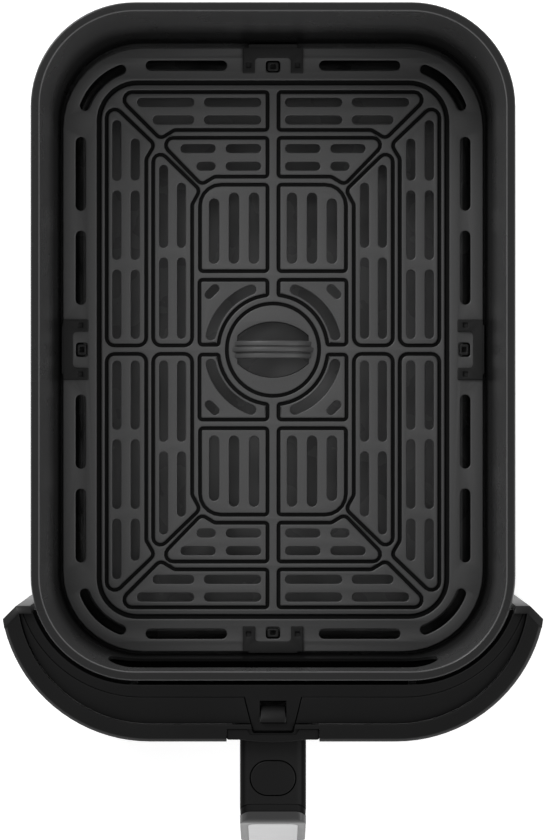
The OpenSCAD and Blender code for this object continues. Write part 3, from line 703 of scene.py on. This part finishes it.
@dataclass
class Pan:
    """The deep pan: a flat rolled rim, leaning walls, a ledge, and a rounded tub under it."""

    rim_w: float = 250.0
    rim_l: float = 350.0
    rim_r: float = 54.0
    height: float = 105.0
    flat: float = 4.7
    lean: float = 4.2
    wall: float = 1.5
    ledge: float = 26.0
    ledge_w: float = 3.5
    end_lean: float = 3.3
    shift: float = -1.6
    roll: float = 0.4
    vent_half: float = 87.5
    vent: tuple[float, float] = (48.0, 88.0)
    round_steps: int = 20
    stud: tuple[float, float, float] = (3.5, 5.2, -173.5)
    stud_places: tuple[Point, ...] = ((-60, 40), (-60, 95.5), (60, 40), (60, 95.5))

    def section(self) -> list[tuple[float, float]]:
        """The wall's section from the floor, up inside, over the rim and down outside, as (inset, z)."""
        w, rim, step = self.wall, self.flat, self.ledge_w
        low = self.flat + self.lean
        inner = rounded([(low + step + 30, 1.5, 0.1), (low + step, 1.5, 11.0), (low + step, self.ledge, 1.4),
                         (low, self.ledge, 2.2), (rim, self.height, 1.1), (0, self.height, 1.1),
                         (0, self.height - 3.6, 0.4), (1.1, self.height - 3.6, 0.4),
                         (1.1, self.height - 1.4, 0.3), (rim - w, self.height - 1.4, 0.8),
                         (low - w, self.ledge - w, 1.6), (low + step - w, self.ledge - w, 1.0),
                         (low + step - w, 0, 12.0), (low + step + 30, 0, 0.1)], steps=6)
        start = min(range(len(inner)), key=lambda i: (abs(inner[i][1] - 1.5) > 0.2, -inner[i][0]))
        ordered = inner[start:] + inner[:start]
        return ordered if ordered[1][1] >= ordered[-1][1] else [ordered[0], *ordered[:0:-1]]

    def ring(self, part: bmesh.types.BMesh, inset: float, z: float) -> list[bmesh.types.BMVert]:
        """A rounded loop of points, drawn in from the rim by an inset, at a height.

        Args:
            part: The mesh that it goes into.
            inset: How far it lies inside the rim's edge.
            z: Its height.

        Returns:
            Its points.
        """
        down = min(max((self.height - z) / (self.height - self.ledge), 0.0), 1.0)
        w = self.rim_w - 2 * inset + 2 * self.roll
        l = self.rim_l - 2 * inset + 2 * self.roll + 2 * (self.lean - self.end_lean) * down
        r = max(self.rim_r - inset, 4.0)
        loop = moved(box_loop(w, l, r, steps=self.round_steps), 0, self.shift * down)
        return [part.verts.new((x * MM, y * MM, z * MM)) for x, y in loop]

    def build(self) -> bpy.types.Object:
        """Builds the pan."""
        part = bmesh.new()
        rings = [self.ring(part, inset, z) for inset, z in self.section()]
        join(part, rings, closed=True)
        for ring in (rings[0], rings[-1]):
            part.faces.new(ring)
        piece = Piece("pan_drawn").take(part)
        middle = sum(self.vent) / 2
        vent = box_loop(2 * self.vent_half, self.vent[1] - self.vent[0], 16.0, steps=8)
        cutter = slab([vent], -15, 15, 0.0)
        cutter.transform(Matrix.Translation((0, -170 * MM, middle * MM)) @ TIPPED)
        cut(piece, cutter)
        radius, length, y = self.stud
        for x, z in self.stud_places:
            piece.add(rod((x, y, z), radius, length, "Y", 24))
        return self.two_tone(piece)

    def two_tone(self, piece: Piece) -> bpy.types.Object:
        """Finishes the pan: its inside coat carries the painted shade and highlights by height, and its
        outside has a plain coat without them.
        """
        pan = piece.finish(PAN_COATING, "drawer", "drawer_pan", sharp=30.0)
        pan.data.materials.append(PAN_OUTSIDE.material())
        reach = Vector(((self.rim_w / 2 - self.rim_r) * MM, (self.rim_l / 2 - self.rim_r) * MM))
        for face in pan.data.polygons:
            place = Vector([c - max(-r, min(r, c)) for c, r in zip(face.center, reach)])
            faces_out = place.length > 0 and face.normal.to_2d().dot(place.normalized()) > 0.3
            if face.center.z < (self.height - 4) * MM and (faces_out or face.normal.z < -0.3):
                face.material_index = 1
        return pan


# ---- drawer front -------------------------------------------------------------------------


def block(low: Corner, high: Corner, edge: float = 0.0) -> bpy.types.Mesh:
    """A box between two corners, with round upright edges where an edge radius is given."""
    (x0, y0, z0), (x1, y1, z1) = low, high
    return slab([[(x0, y0), (x1, y0), (x1, y1), (x0, y1)]], z0, z1, edge)


def band(outer: Loop, inner: Loop) -> Loop:
    """A band across x = 0 between two curves, each given by its right half."""
    return [(-x, y) for x, y in outer[::-1]] + outer + inner[::-1] + [(-x, y) for x, y in inner]


def both(loop: Loop) -> tuple[Loop, Loop]:
    """A shape and its mirror image across x = 0."""
    return loop, [(-x, y) for x, y in loop]


@dataclass
class DrawerFront:
    """The front: a moulded shell with a top lip, a liner inside it, and the carrier that holds the pan."""

    corner_x: float = 63.5
    corner_y: float = -129.2
    radius: float = 77.5
    lip: float = 9.0
    wall: float = 2.5
    low: float = 2.0
    top: float = 108.0
    deck: float = 105.0
    deck_t: float = 3.0
    tip_y: float = -136.6
    tip_x: float = 132.7
    tip_w: float = 4.0
    seam: tuple[float, float, float] = (68.0, -118.8, 65.0)
    pan_gap: tuple[float, float, float] = (71.0, -121.0, 56.6)
    base_half: float = 23.9
    tongue: tuple[Point, Point] = ((14.8, -182.8), (10.2, -201.3))
    window: tuple[float, float, float] = (6.9, -197.2, -185.8)
    tongue_notch: tuple[Point, ...] = ((-13.0, -190), (13.0, -190), (11.5, -197), (10.7, -202),
                                       (-10.7, -202), (-11.5, -197))
    seam_gap: float = 0.55
    screw_holes: tuple[Point, ...] = ((-60, 40), (-60, 95.5), (60, 40), (60, 95.5), (-20, 60), (20, 60))

    def build(self) -> list[bpy.types.Object]:
        """Builds the shell, the liner and the carrier."""
        return [self.shell(), self.liner(), self.carrier()]

    def shell_section(self) -> list[tuple[float, float]]:
        """The shell's section, as (distance from the corner's axis, z)."""
        r, w = self.radius, self.wall
        foot, lip, under = r - 12.5, r - self.lip, self.top - 2.6
        return rounded([(foot, self.low, 0.5), (r, self.low, 1.4), (r, self.top - 1.7, 0.7),
                        (r - 1.7, self.top, 0.7), (lip, self.top, 0.5), (lip, under, 0.5),
                        (r - w, under, 1.0), (r - w, self.low + w, 1.0), (foot, self.low + w, 0.5)],
                       steps=3)

    def shell(self) -> bpy.types.Object:
        """The moulded shell, its section swept round both corners."""
        part = bmesh.new()
        stations = ([(self.corner_x, a) for a in range(-2, -91, -4)]
                    + [(-self.corner_x, a) for a in range(-90, -181, -4)])
        rings = []
        for cx, angle in stations:
            c, s = math.cos(math.radians(angle)), math.sin(math.radians(angle))
            rings.append([part.verts.new(((cx + r * c) * MM, (self.corner_y + r * s) * MM, z * MM))
                          for r, z in self.shell_section()])
        join(part, rings, closed=True)
        x, y = self.tip_x - self.tip_w * math.tan(math.radians(22.5)), self.tip_y - self.tip_w
        for (px, py), (nx, ny) in (((0, y), (0, 1)), ((x, y), (1, 1)), ((-x, y), (-1, 1))):
            geom = part.verts[:] + part.edges[:] + part.faces[:]
            bmesh.ops.bisect_plane(part, geom=geom, plane_co=(px * MM, py * MM, 0), plane_no=(nx, ny, 0),
                                   clear_outer=True)
            bmesh.ops.holes_fill(part, edges=[e for e in part.edges if len(e.link_faces) == 1], sides=0)
        piece = Piece("front_shell_moulded").take(part)
        for side in (-1, 1):
            piece.take(self.tip(side))
        cut(piece, self.base_room(), slab([self.tongue_notch], 104.5, 120, 0.0))
        x, front = self.base_half + 6, -204.8
        saddle = Piece("saddle").add(block((-x, front, 68), (x, -197.9, self.deck + 0.6), 0.3))
        saddle.add(block((-x, front, 68), (x, -197, self.deck - self.deck_t - 0.1), 0.3))
        cut(saddle, self.base_room(), block((-14.8, -202, 101.4), (14.8, -196, 120)),
            block((-7.5, -215, 77), (7.5, -190, 97)))
        piece.bm.from_mesh(self.take_mesh(saddle))
        return piece.finish(SHELL_PLASTIC, "drawer", "front_shell", sharp=28.0)

    def base_room(self) -> bpy.types.Mesh:
        """The room that the handle's base takes up in the front."""
        x = self.base_half + 0.1
        return block((-x, -220, 71.9), (x, -199.95, 120))

    def tip(self, side: int) -> bmesh.types.BMesh:
        """The solid end of a wing, whose top slopes outwards.

        Args:
            side: 1 on the right, -1 on the left.

        Returns:
            The end.
        """
        w, x, y = self.tip_w, self.tip_x, self.tip_y
        turn = w * math.tan(math.radians(22.5))
        outer = [(125.4, y), (x, y), (139.6, y - 6.9)]
        inner = [(124.2, y - w), (x - turn, y - w), (138.6, y - 11.6)]
        part = bmesh.new()
        rings = [[part.verts.new((side * px * MM, py * MM, z * MM))
                  for px, py, z in ((*a, self.low), (*a, self.top - 2.0), (*b, self.top), (*b, self.low))]
                 for a, b in zip(outer, inner)]
        join(part, rings, closed=True)
        for ring in (rings[0], rings[-1]):
            part.faces.new(ring)
        bmesh.ops.recalc_face_normals(part, faces=part.faces)
        bmesh.ops.bevel(part, geom=part.edges[:], offset=0.35 * MM, segments=2, profile=0.5, affect="EDGES",
                        material=-1)
        return part

    @staticmethod
    def take_mesh(piece: Piece) -> bpy.types.Mesh:
        """The mesh of a piece that isn't finished on its own."""
        mesh = bpy.data.meshes.new(piece.name)
        piece.bm.to_mesh(mesh)
        piece.bm.free()
        return mesh

    def curve(self, curve: tuple[float, float, float], grow: float, end: float = -139.3) -> Loop:
        """The right half of a curve across the front, from the middle to where its wing ends.

        Args:
            curve: The corner's x, y and radius.
            grow: How far the curve moves outwards.
            end: The y at which the wing ends.

        Returns:
            The points, without the one in the middle.
        """
        x, y, r = curve
        last = math.degrees(math.asin((end - y) / (r + grow)))
        return arc((x, y), r + grow, -90, last, 20)

    def liner(self) -> bpy.types.Object:
        """The liner: two flat wings on top of an upright wall."""
        outer = self.curve((self.corner_x, self.corner_y, self.radius - self.lip), -0.15)
        inner = self.curve(self.seam, 0.2)
        (wide, rear), (narrow, front) = self.tongue
        edge_y, seam_y = outer[0][1], inner[0][1]
        slope = (wide - narrow) / (rear - front)
        near = narrow + slope * (edge_y - front) + self.seam_gap
        far = narrow + slope * (seam_y - front) + self.seam_gap
        wing = [(near, edge_y)] + outer + inner[::-1] + [(far, seam_y)]
        piece = Piece("front_liner_moulded")
        for loop in both(wing):
            piece.add(slab([loop], self.deck - self.deck_t, self.deck, 0.35))
        ring = band(self.curve(self.seam, 2.2), self.curve(self.seam, -1.6))
        piece.add(slab([ring], 5.0, self.deck - self.deck_t - 0.3, 0.3))
        for loop in both([(8.2, -199.0), (17.5, -199.0), (17.5, -184.6), (8.2, -184.6)]):
            piece.add(slab([loop], 98.6, 101.4, 0.2))
        return piece.finish(FRONT_PLASTIC, "drawer", "front_liner")

    def carrier(self) -> bpy.types.Object:
        """The carrier: a rim between the liner and the pan, with the tongue over the latch."""
        outer, inner = self.curve(self.seam, 0.0), self.curve(self.pan_gap, 0.0)
        (wide, rear), (narrow, front) = self.tongue
        seam_y = outer[0][1]
        slope = (wide - narrow) / (rear - front)
        root = narrow + slope * (seam_y - front)
        nose = rounded([(root, seam_y + 3, 0), (-root, seam_y + 3, 0), (-narrow, front, 1.2),
                        (narrow, front, 1.2)])
        nose = [(x, y) for x, y in nose if y < seam_y + 1]
        nose.sort(key=lambda p: math.atan2(p[0], seam_y + 6 - p[1]))
        ring = ([(-x, y) for x, y in outer[::-1]] + [(-root, seam_y)] + nose + [(root, seam_y)] + outer
                + inner[::-1] + [(-x, y) for x, y in inner])
        half, y0, y1 = self.window
        hole = rounded([(-half, y0, 0.4), (half, y0, 0.4), (half, y1, 0.4), (-half, y1, 0.4)], steps=2)
        piece = Piece("pan_carrier_moulded")
        band_out, band_in = self.curve(self.pan_gap, 2.2), self.curve(self.pan_gap, 0.0)
        piece.add(slab([band(band_out, band_in)], 32.0, self.deck - self.deck_t - 0.3, 0.3))
        cut(piece, *(rod((x, -178.3, z), 2.0, 9.0, "Y") for x, z in self.screw_holes))
        piece.add(slab([ring, hole], self.deck - self.deck_t, self.deck, 0.35))
        for loop in both(band_out[1:] + self.curve(self.pan_gap, -5.3)[:0:-1]):
            piece.add(slab([loop], 93.5, 96.5, 0.3))
        return piece.finish(FRONT_PLASTIC, "drawer", "pan_carrier")


def rod(centre: Corner, radius: float, length: float, axis: str, segments: int = 32) -> bpy.types.Mesh:
    """A cylinder about a point, along X or Y."""
    part = bmesh.new()
    bmesh.ops.create_cone(part, cap_ends=True, segments=segments, radius1=radius * MM, radius2=radius * MM,
                          depth=length * MM)
    turn = {"X": Matrix.Rotation(math.radians(90), 4, "Y"), "Y": TIPPED}[axis]
    bmesh.ops.transform(part, verts=part.verts, matrix=Matrix.Translation([c * MM for c in centre]) @ turn)
    mesh = bpy.data.meshes.new("rod")
    part.to_mesh(mesh)
    part.free()
    return mesh


# ---- handle -------------------------------------------------------------------------------


@dataclass
class Handle:
    """The hooked handle: a base on the front, an arm, and a grip with a metal insert."""

    width: float = 34.4
    top: float = 100.0
    floor: float = 80.0
    round_r: float = 5.2
    base_y: float = -205.7
    base_half: float = 23.9
    base_low: float = 72.0
    base_top: float = 107.0
    grip_y: float = -251.0
    grip_z: float = 94.0
    grip_len: float = 47.2
    grip_t: float = 14.0
    taper_start: float = 42.5
    bezel_t: float = 4.65
    collar: float = 8.4
    insert_w: float = 26.0
    insert_t: float = 1.6
    button: tuple[float, float, float] = (23.2, 17.6, -226.4)
    tilt: float = math.atan(17 / 44)

    def on_grip(self, down: float, depth: float = 0.0) -> Point:
        """The (y, z) a given way down the grip's face and a given depth into it."""
        s, c = math.sin(self.tilt), math.cos(self.tilt)
        return self.grip_y - down * s + depth * c, self.grip_z - down * c - depth * s

    def plane_y(self, z: float, depth: float) -> float:
        """The y at a height on a plane parallel to the grip's face."""
        return self.grip_y - (self.grip_z - z) * math.tan(self.tilt) + depth / math.cos(self.tilt)

    def in_grip(self) -> Matrix:
        """Places a shape drawn as (x, down, depth) on the grip."""
        s, c = math.sin(self.tilt), math.cos(self.tilt)
        return Matrix(((1, 0, 0, 0), (0, -s, c, self.grip_y * MM), (0, -c, -s, self.grip_z * MM),
                       (0, 0, 0, 1)))

    def button_loop(self, grow: float) -> Loop:
        """The round-ended outline of the button."""
        w, d, y = self.button
        return moved(box_loop(w, d, d / 2 - 0.01, grow, 16), 0, y)

    def build(self) -> list[bpy.types.Object]:
        """Builds the base, the shells, the bezel and the insert."""
        return [self.base(), self.top_shell(), self.bottom_shell(), self.bezel(), self.insert()]

    def base(self) -> bpy.types.Object:
        """The base that sits in the front's notch, with a bulge over the arm's root."""
        x = self.base_half
        piece = Piece("handle_base_moulded")
        front, rear = self.base_y, -200
        plate = rounded([(-x, front, 1.2), (x, front, 1.2), (x, rear, 0.6), (-x, rear, 0.6)])
        piece.add(slab([plate], self.base_low, self.base_top, 0.5))
        half = math.degrees(math.asin(16.6 / 97))
        bulge = arc((0, -110), 97, 270 - half, 270 + half, 20) + [(16.0, -204), (-16.0, -204)]
        shallow = rounded([(-13.4, -190, 1), (13.4, -190, 1), (13.4, -200.6, 1.6), (12.0, -203.2, 1.6),
                           (-12.0, -203.2, 1.6), (-13.4, -200.6, 1.6)])
        deep = rounded([(-11.4, -190, 1), (11.4, -190, 1), (10.8, -202.4, 1.4), (-10.8, -202.4, 1.4)])
        cut(piece, slab([deep], 101.4, 120, 0.0), slab([shallow], 106.3, 120, 0.0),
            block((-7.5, -215, 80), (7.5, -190, 97)))
        piece.add(slab([bulge], self.top + 0.1, self.base_top + 0.02, 0.6, 3))
        return piece.finish(FRONT_PLASTIC, "drawer", "handle_base", sharp=30.0)

    def section(self, front: float, rear: float, inset: float, low: float) -> bpy.types.Mesh:
        """A length of the arm's arched section, whose front end lies parallel to the grip's face.

        Args:
            front: Depth of the front end behind the grip's face.
            rear: The y of the rear end, or a depth if it is positive.
            inset: How far the section is drawn in.
            low: Height of the legs' ends.

        Returns:
            The mesh.
        """
        h, z, wall, roof = self.width / 2 - inset, self.top - inset, 2.2, 2.5
        arch = rounded([(-h, low, 0.4), (-h + wall, low, 0.4), (-h + wall, z - roof, 2.0),
                        (h - wall, z - roof, 2.0), (h - wall, low, 0.4), (h, low, 0.4),
                        (h, z, self.round_r), (-h, z, self.round_r)], steps=6)
        y0 = self.plane_y(self.top, front)
        y1 = self.plane_y(self.top, rear) if rear > 0 else rear
        mesh = slab([arch], y0, y1, 0.35)
        mesh.transform(UPRIGHT)
        middle = (y0 + y1) / 2 * MM if rear <= 0 else 1.0
        for vert in mesh.vertices:
            if vert.co.y < middle:
                vert.co.y += (vert.co.z - self.top * MM) * math.tan(self.tilt) - self.sweep(vert.co.x)
        return mesh

    def sweep(self, x: float) -> float:
        """How far the seams swing forward towards the arm's sides, in metres."""
        flat, swing = 10.5, 1.5
        past = max(abs(x) / MM - flat, 0.0) / (self.width / 2 - flat)
        return swing * MM * past ** 2

    def top_shell(self) -> bpy.types.Object:
        """The arm's arched cover, with the button's hole, and the collar behind the bezel."""
        piece = Piece("handle_cover")
        piece.add(self.section(self.collar, self.base_y - 0.02, 0.0, self.floor + 2.1))
        cut(piece, slab([self.button_loop(0.6)], 90, 110, 0.0))
        piece.add(self.section(self.bezel_t + 0.1, self.collar - 0.15, 0.25, self.floor + 4.1))
        return piece.finish(HANDLE_PLASTIC, "drawer", "handle_top_shell", sharp=32.0)

    def taper(self, piece: Piece) -> None:
        """Draws the grip's lower corners in."""
        y, z = self.on_grip(self.taper_start)
        plane = Vector((0, y * MM, z * MM))
        along = Vector((0, -math.sin(self.tilt), -math.cos(self.tilt)))
        bmesh.ops.bisect_plane(piece.bm, geom=piece.bm.verts[:] + piece.bm.edges[:] + piece.bm.faces[:],
                               plane_co=plane, plane_no=along)
        for vert in piece.bm.verts:
            past = (vert.co - plane).dot(along)
            limit = self.width / 2 * MM - max(past, 0.0) * 0.5
            if past > 0 and abs(vert.co.x) > limit:
                vert.co.x = math.copysign(limit, vert.co.x)

    def bottom_shell(self) -> bpy.types.Object:
        """The arm's floor and the grip's back half."""
        floor, shelf, t, deep = self.floor, 84.0, self.grip_t, self.bezel_t + 0.1
        side = [(self.base_y - 0.02, floor, 0.6), (self.plane_y(floor, t) + 2, floor, 3),
                (self.plane_y(floor - 3, t), floor - 3, 4), (*self.on_grip(self.grip_len - 1, t), 2.0),
                (*self.on_grip(self.grip_len + 1.5, t - 3), 1.5),
                (*self.on_grip(self.grip_len + 1.5, deep), 0.4),
                (self.plane_y(shelf, deep), shelf, 0.3), (-240.5, shelf, 0.5), (-238.5, floor + 2, 0.5),
                (self.base_y - 0.02, floor + 2, 0.4)]
        piece = Piece("grip_back").add(side_slab([rounded(side, steps=4)], self.width - 0.1, 0.8))
        self.taper(piece)
        for x in (-7.6, 7.6):
            lug = rounded([(-243.4, floor + 1, 0.3), (-237.8, floor + 1, 0.3), (-237.8, 93, 2.0),
                           (-243.4, 93, 2.0)])
            eye = arc((-241, 90), 1.55, 0, 360, 24)[:-1]
            piece.add(side_slab([lug, eye], 2.8, 0.2, 2, x))
        return piece.finish(HANDLE_PLASTIC, "drawer", "handle_bottom_shell", sharp=30.0)

    def pocket(self, grow: float) -> Loop:
        """The insert's outline on the grip, as (x, down), with round top corners."""
        h = self.insert_w / 2
        return rounded([(-h, 1.0, 5.0), (h, 1.0, 5.0), (h, 45.2, 0.8), (-h, 45.2, 0.8)], grow, 8)

    def bezel(self) -> bpy.types.Object:
        """The satin frame of the grip, whose nose turns over the arm's end."""
        nose = [(self.grip_y + 4.5 - 4.5 * math.sin(math.radians(a)), 94 + 6 * math.cos(math.radians(a)))
                for a in range(0, 91, 9)]
        t = self.bezel_t
        side = ([(self.plane_y(93.0, t), 93.0), (self.plane_y(self.top, t), self.top)] + nose
                + [self.on_grip(self.grip_len), self.on_grip(self.grip_len + 2.6, 1.6),
                   self.on_grip(self.grip_len + 2.6, t)])
        piece = Piece("grip_bezel").add(side_slab([side], self.width, 0.5))
        h, r = self.width / 2, self.round_r
        corner = [(h - r, self.top + 3), (h + 2, self.top + 3), (h + 2, self.top - r), (h, self.top - r)]
        corner += arc((h - r, self.top - r), r, 0, 90, 10)[1:]
        cutters = []
        for loop in both(corner):
            mesh = slab([loop], -256, -236, 0.0)
            mesh.transform(UPRIGHT)
            cutters.append(mesh)
        hollow = slab([self.pocket(0.06)], -4.0, self.insert_t, 0.0)
        hollow.transform(self.in_grip())
        cut(piece, hollow, *cutters)
        self.taper(piece)
        for vert in piece.bm.verts:
            depth = ((vert.co.y / MM - self.grip_y) * math.cos(self.tilt)
                     - (vert.co.z / MM - self.grip_z) * math.sin(self.tilt))
            if depth > t - 0.7 and vert.co.z > 94.5 * MM:
                vert.co.y -= self.sweep(vert.co.x)
        return piece.finish(BEZEL_PAINT, "drawer", "handle_bezel", sharp=32.0)

    def insert(self) -> bpy.types.Object:
        """The brushed metal plate in the bezel."""
        mesh = slab([self.pocket(0.0)], -0.15, self.insert_t - 0.02, 0.25)
        return Piece("grip_insert").add(mesh, self.in_grip()).finish(INSERT_STEEL, "drawer", "handle_insert")


@dataclass
class Latch:
    """The button in the arm, and the lever that it pushes down."""

    handle: Handle
    pivot: Point = (-241.0, 90.0)
    beam: tuple[float, float] = (88.0, 93.0)
    hook: tuple[float, float, float] = (-196.7, -188.5, 107.0)
    hook_half: float = 6.4
    beam_half: float = 5.0

    def build(self) -> list[bpy.types.Object]:
        """Builds the button and the lever."""
        return [self.cap(), self.lever()]

    def cap(self) -> bpy.types.Object:
        """The button's cap, its flange and the rib that rests on the lever."""
        _, _, y = self.handle.button
        piece = Piece("release_cap")
        piece.add(slab([self.handle.button_loop(0.0)], 97.0, 100.2, 0.55, 3))
        piece.add(slab([self.handle.button_loop(0.85)], 95.6, 97.15, 0.2))
        piece.add(rod((0, y, 95.1), 2.0, 7.0, "X", 24))
        return piece.finish(BUTTON_PLASTIC, "button", "release_button")

    def lever(self) -> bpy.types.Object:
        """The lever, from its eye on the pin to the hook that shows in the window."""
        (py, pz), (z0, z1), (front, rear, top) = self.pivot, self.beam, self.hook
        eye = arc((py, pz), 1.55, 0, 360, 24)[:-1]
        side = arc((py, pz), 3.5, 60, 270, 16)
        side += [(py + 8, z0), (front + 1, z0), (front + 1, z1), (py + 3, z1)]
        piece = Piece("latch_hook").add(side_slab([side, eye], 2 * self.beam_half, 0.3))
        crest = [(front + 1.2 - 1.2 * math.cos(math.radians(i * 11.25)) + (rear - front - 1.2) * i / 8,
                  top - 3 + 3 * math.cos(math.radians(i * 8)) - i * i / 16) for i in range(9)]
        hook = [(rear, z0 - 2), (rear, crest[-1][1])] + crest[::-1] + [(front, top - 3), (front, z0 - 2)]
        piece.add(side_slab([hook], 2 * self.hook_half, 0.5))
        return piece.finish(BUTTON_PLASTIC, "lever", "latch_lever")


# ---- bought parts and stage ---------------------------------------------------------------


class Dress(Enum):
    """The CAD nodes that keep their own mesh, and what each is dressed in: 'shield' is the near-black,
    sheenless steel that partly paints shade.
    """

    heat_shield = "shield"
    shield_rivets = "zinc"
    # The zinc pan bracket is dressed in the near-black, sheenless steel as painted shade, so the gap above it
    # reads dark.
    pan_bracket = "shield"
    pan_screws = "zinc"
    carrier_screws = "zinc"
    liner_screws = "zinc"
    base_screws = "zinc"
    handle_screws = "zinc"
    grip_screws = "zinc"
    lever_pin = "zinc"
    lever_spring = "zinc"


def dress_nodes() -> None:
    """Gives every CAD node a finish, the hidden ones too."""
    stands_in = {"crisper_plate": PLATE_COATING, "drawer_pan": PAN_COATING, "front_shell": SHELL_PLASTIC,
                 "front_liner": FRONT_PLASTIC, "pan_carrier": FRONT_PLASTIC, "handle_base": FRONT_PLASTIC,
                 "handle_top_shell": HANDLE_PLASTIC, "handle_bottom_shell": HANDLE_PLASTIC,
                 "handle_bezel": BEZEL_PAINT, "handle_insert": INSERT_STEEL, "release_button": BUTTON_PLASTIC,
                 "latch_lever": BUTTON_PLASTIC}
    for obj in bpy.data.objects:
        if obj.type != "MESH":
            continue
        if obj.name in Dress.__members__:
            # Nodes marked shield get the near-black, sheenless steel, which paints shade in the vent and the
            # gap over the bracket.
            finish = ZINC if Dress[obj.name].value == "zinc" else SHADE_BLACK_STEEL
        elif obj.name in stands_in:
            finish = stands_in[obj.name]
        elif obj.name.startswith("foot_"):
            finish = SILICONE
        else:
            continue
        obj.data.materials.clear()
        obj.data.materials.append(finish.material())


@dataclass
class Studio:
    """A pale floor, soft lamps and a camera straight above the drawer."""

    camera: tuple[float, float, float] = (0.0, -0.0407, 1.355)
    lens: float = 103.7
    floor: float = 0.95
    floor_size: float = 3.0
    floor_gap: float = 0.0005
    aim: float = 0.05
    sky: tuple[tuple[float, float], ...] = ((0.0, 0.95), (0.6, 0.95), (0.86, 0.38))
    glow: float = 0.55

    def build(self) -> None:
        """Sets the floor, the lamps, the backdrop's light and the camera."""
        scene = bpy.context.scene
        scene.view_settings.view_transform = "Standard"
        world = bpy.data.worlds.new("studio")
        world.use_nodes = True
        sky = next(n for n in world.node_tree.nodes if n.type == "BACKGROUND")
        sky.inputs["Strength"].default_value = 1.0
        self.dome(world.node_tree, sky)
        scene.world = world
        self.ground()
        self.lamp("key", Vector((-0.75, 0.95, 1.0)), 0.6, 10.0)
        self.lamp("fill", Vector((1.2, -0.4, 1.0)), 0.9, 4.0)
        data = bpy.data.cameras.new("camera")
        data.lens, data.sensor_width = self.lens, 36.0
        data.clip_start, data.clip_end = 0.01, 20.0
        camera = shown("camera", data)
        camera.location = self.camera
        scene.camera = camera

    def dome(self, tree: bpy.types.NodeTree, sky: bpy.types.ShaderNode) -> None:
        """Makes the backdrop bright all round and dark overhead."""
        place = tree.nodes.new("ShaderNodeTexCoord").outputs["Generated"]
        axes = tree.nodes.new("ShaderNodeSeparateXYZ")
        tree.links.new(place, axes.inputs["Vector"])
        tree.links.new(tone_ramp(tree, axes.outputs["Z"], list(self.sky)), sky.inputs["Color"])

    def ground(self) -> None:
        """A wide white floor under the drawer."""
        part = bmesh.new()
        bmesh.ops.create_grid(part, x_segments=1, y_segments=1, size=self.floor_size)
        mesh = bpy.data.meshes.new("floor")
        part.to_mesh(mesh)
        part.free()
        white = bpy.data.materials.new("floor")
        white.use_nodes = True
        shader = next(n for n in white.node_tree.nodes if n.type == "BSDF_PRINCIPLED")
        shader.inputs["Base Color"].default_value = (self.floor, self.floor, self.floor, 1)
        shader.inputs["Roughness"].default_value = 0.9
        shader.inputs["Emission Color"].default_value = (1, 1, 1, 1)
        shader.inputs["Emission Strength"].default_value = self.glow
        shader.inputs["Specular IOR Level"].default_value = 0.1
        mesh.materials.append(white)
        floor = shown("floor", mesh)
        floor.location.z = -self.floor_gap

    def lamp(self, name: str, place: Vector, size: float, power: float) -> None:
        """A soft square lamp aimed at the drawer."""
        data = bpy.data.lights.new(name, "AREA")
        data.size, data.energy = size, power
        lamp = shown(name, data)
        lamp.location = place
        lamp.rotation_euler = (Vector((0, 0, self.aim)) - place).to_track_quat("-Z", "Y").to_euler()


def main() -> None:
    """Builds every piece in order, dresses the CAD nodes, and sets the stage."""
    plate = CrisperPlate()
    plate.build()
    SiliconeClips(plate).build()
    Pan().build()
    DrawerFront().build()
    handle = Handle()
    handle.build()
    Latch(handle).build()
    dress_nodes()
    Studio().build()


if __name__ == "__main__":
    logging.basicConfig(level=logging.INFO)
    main()
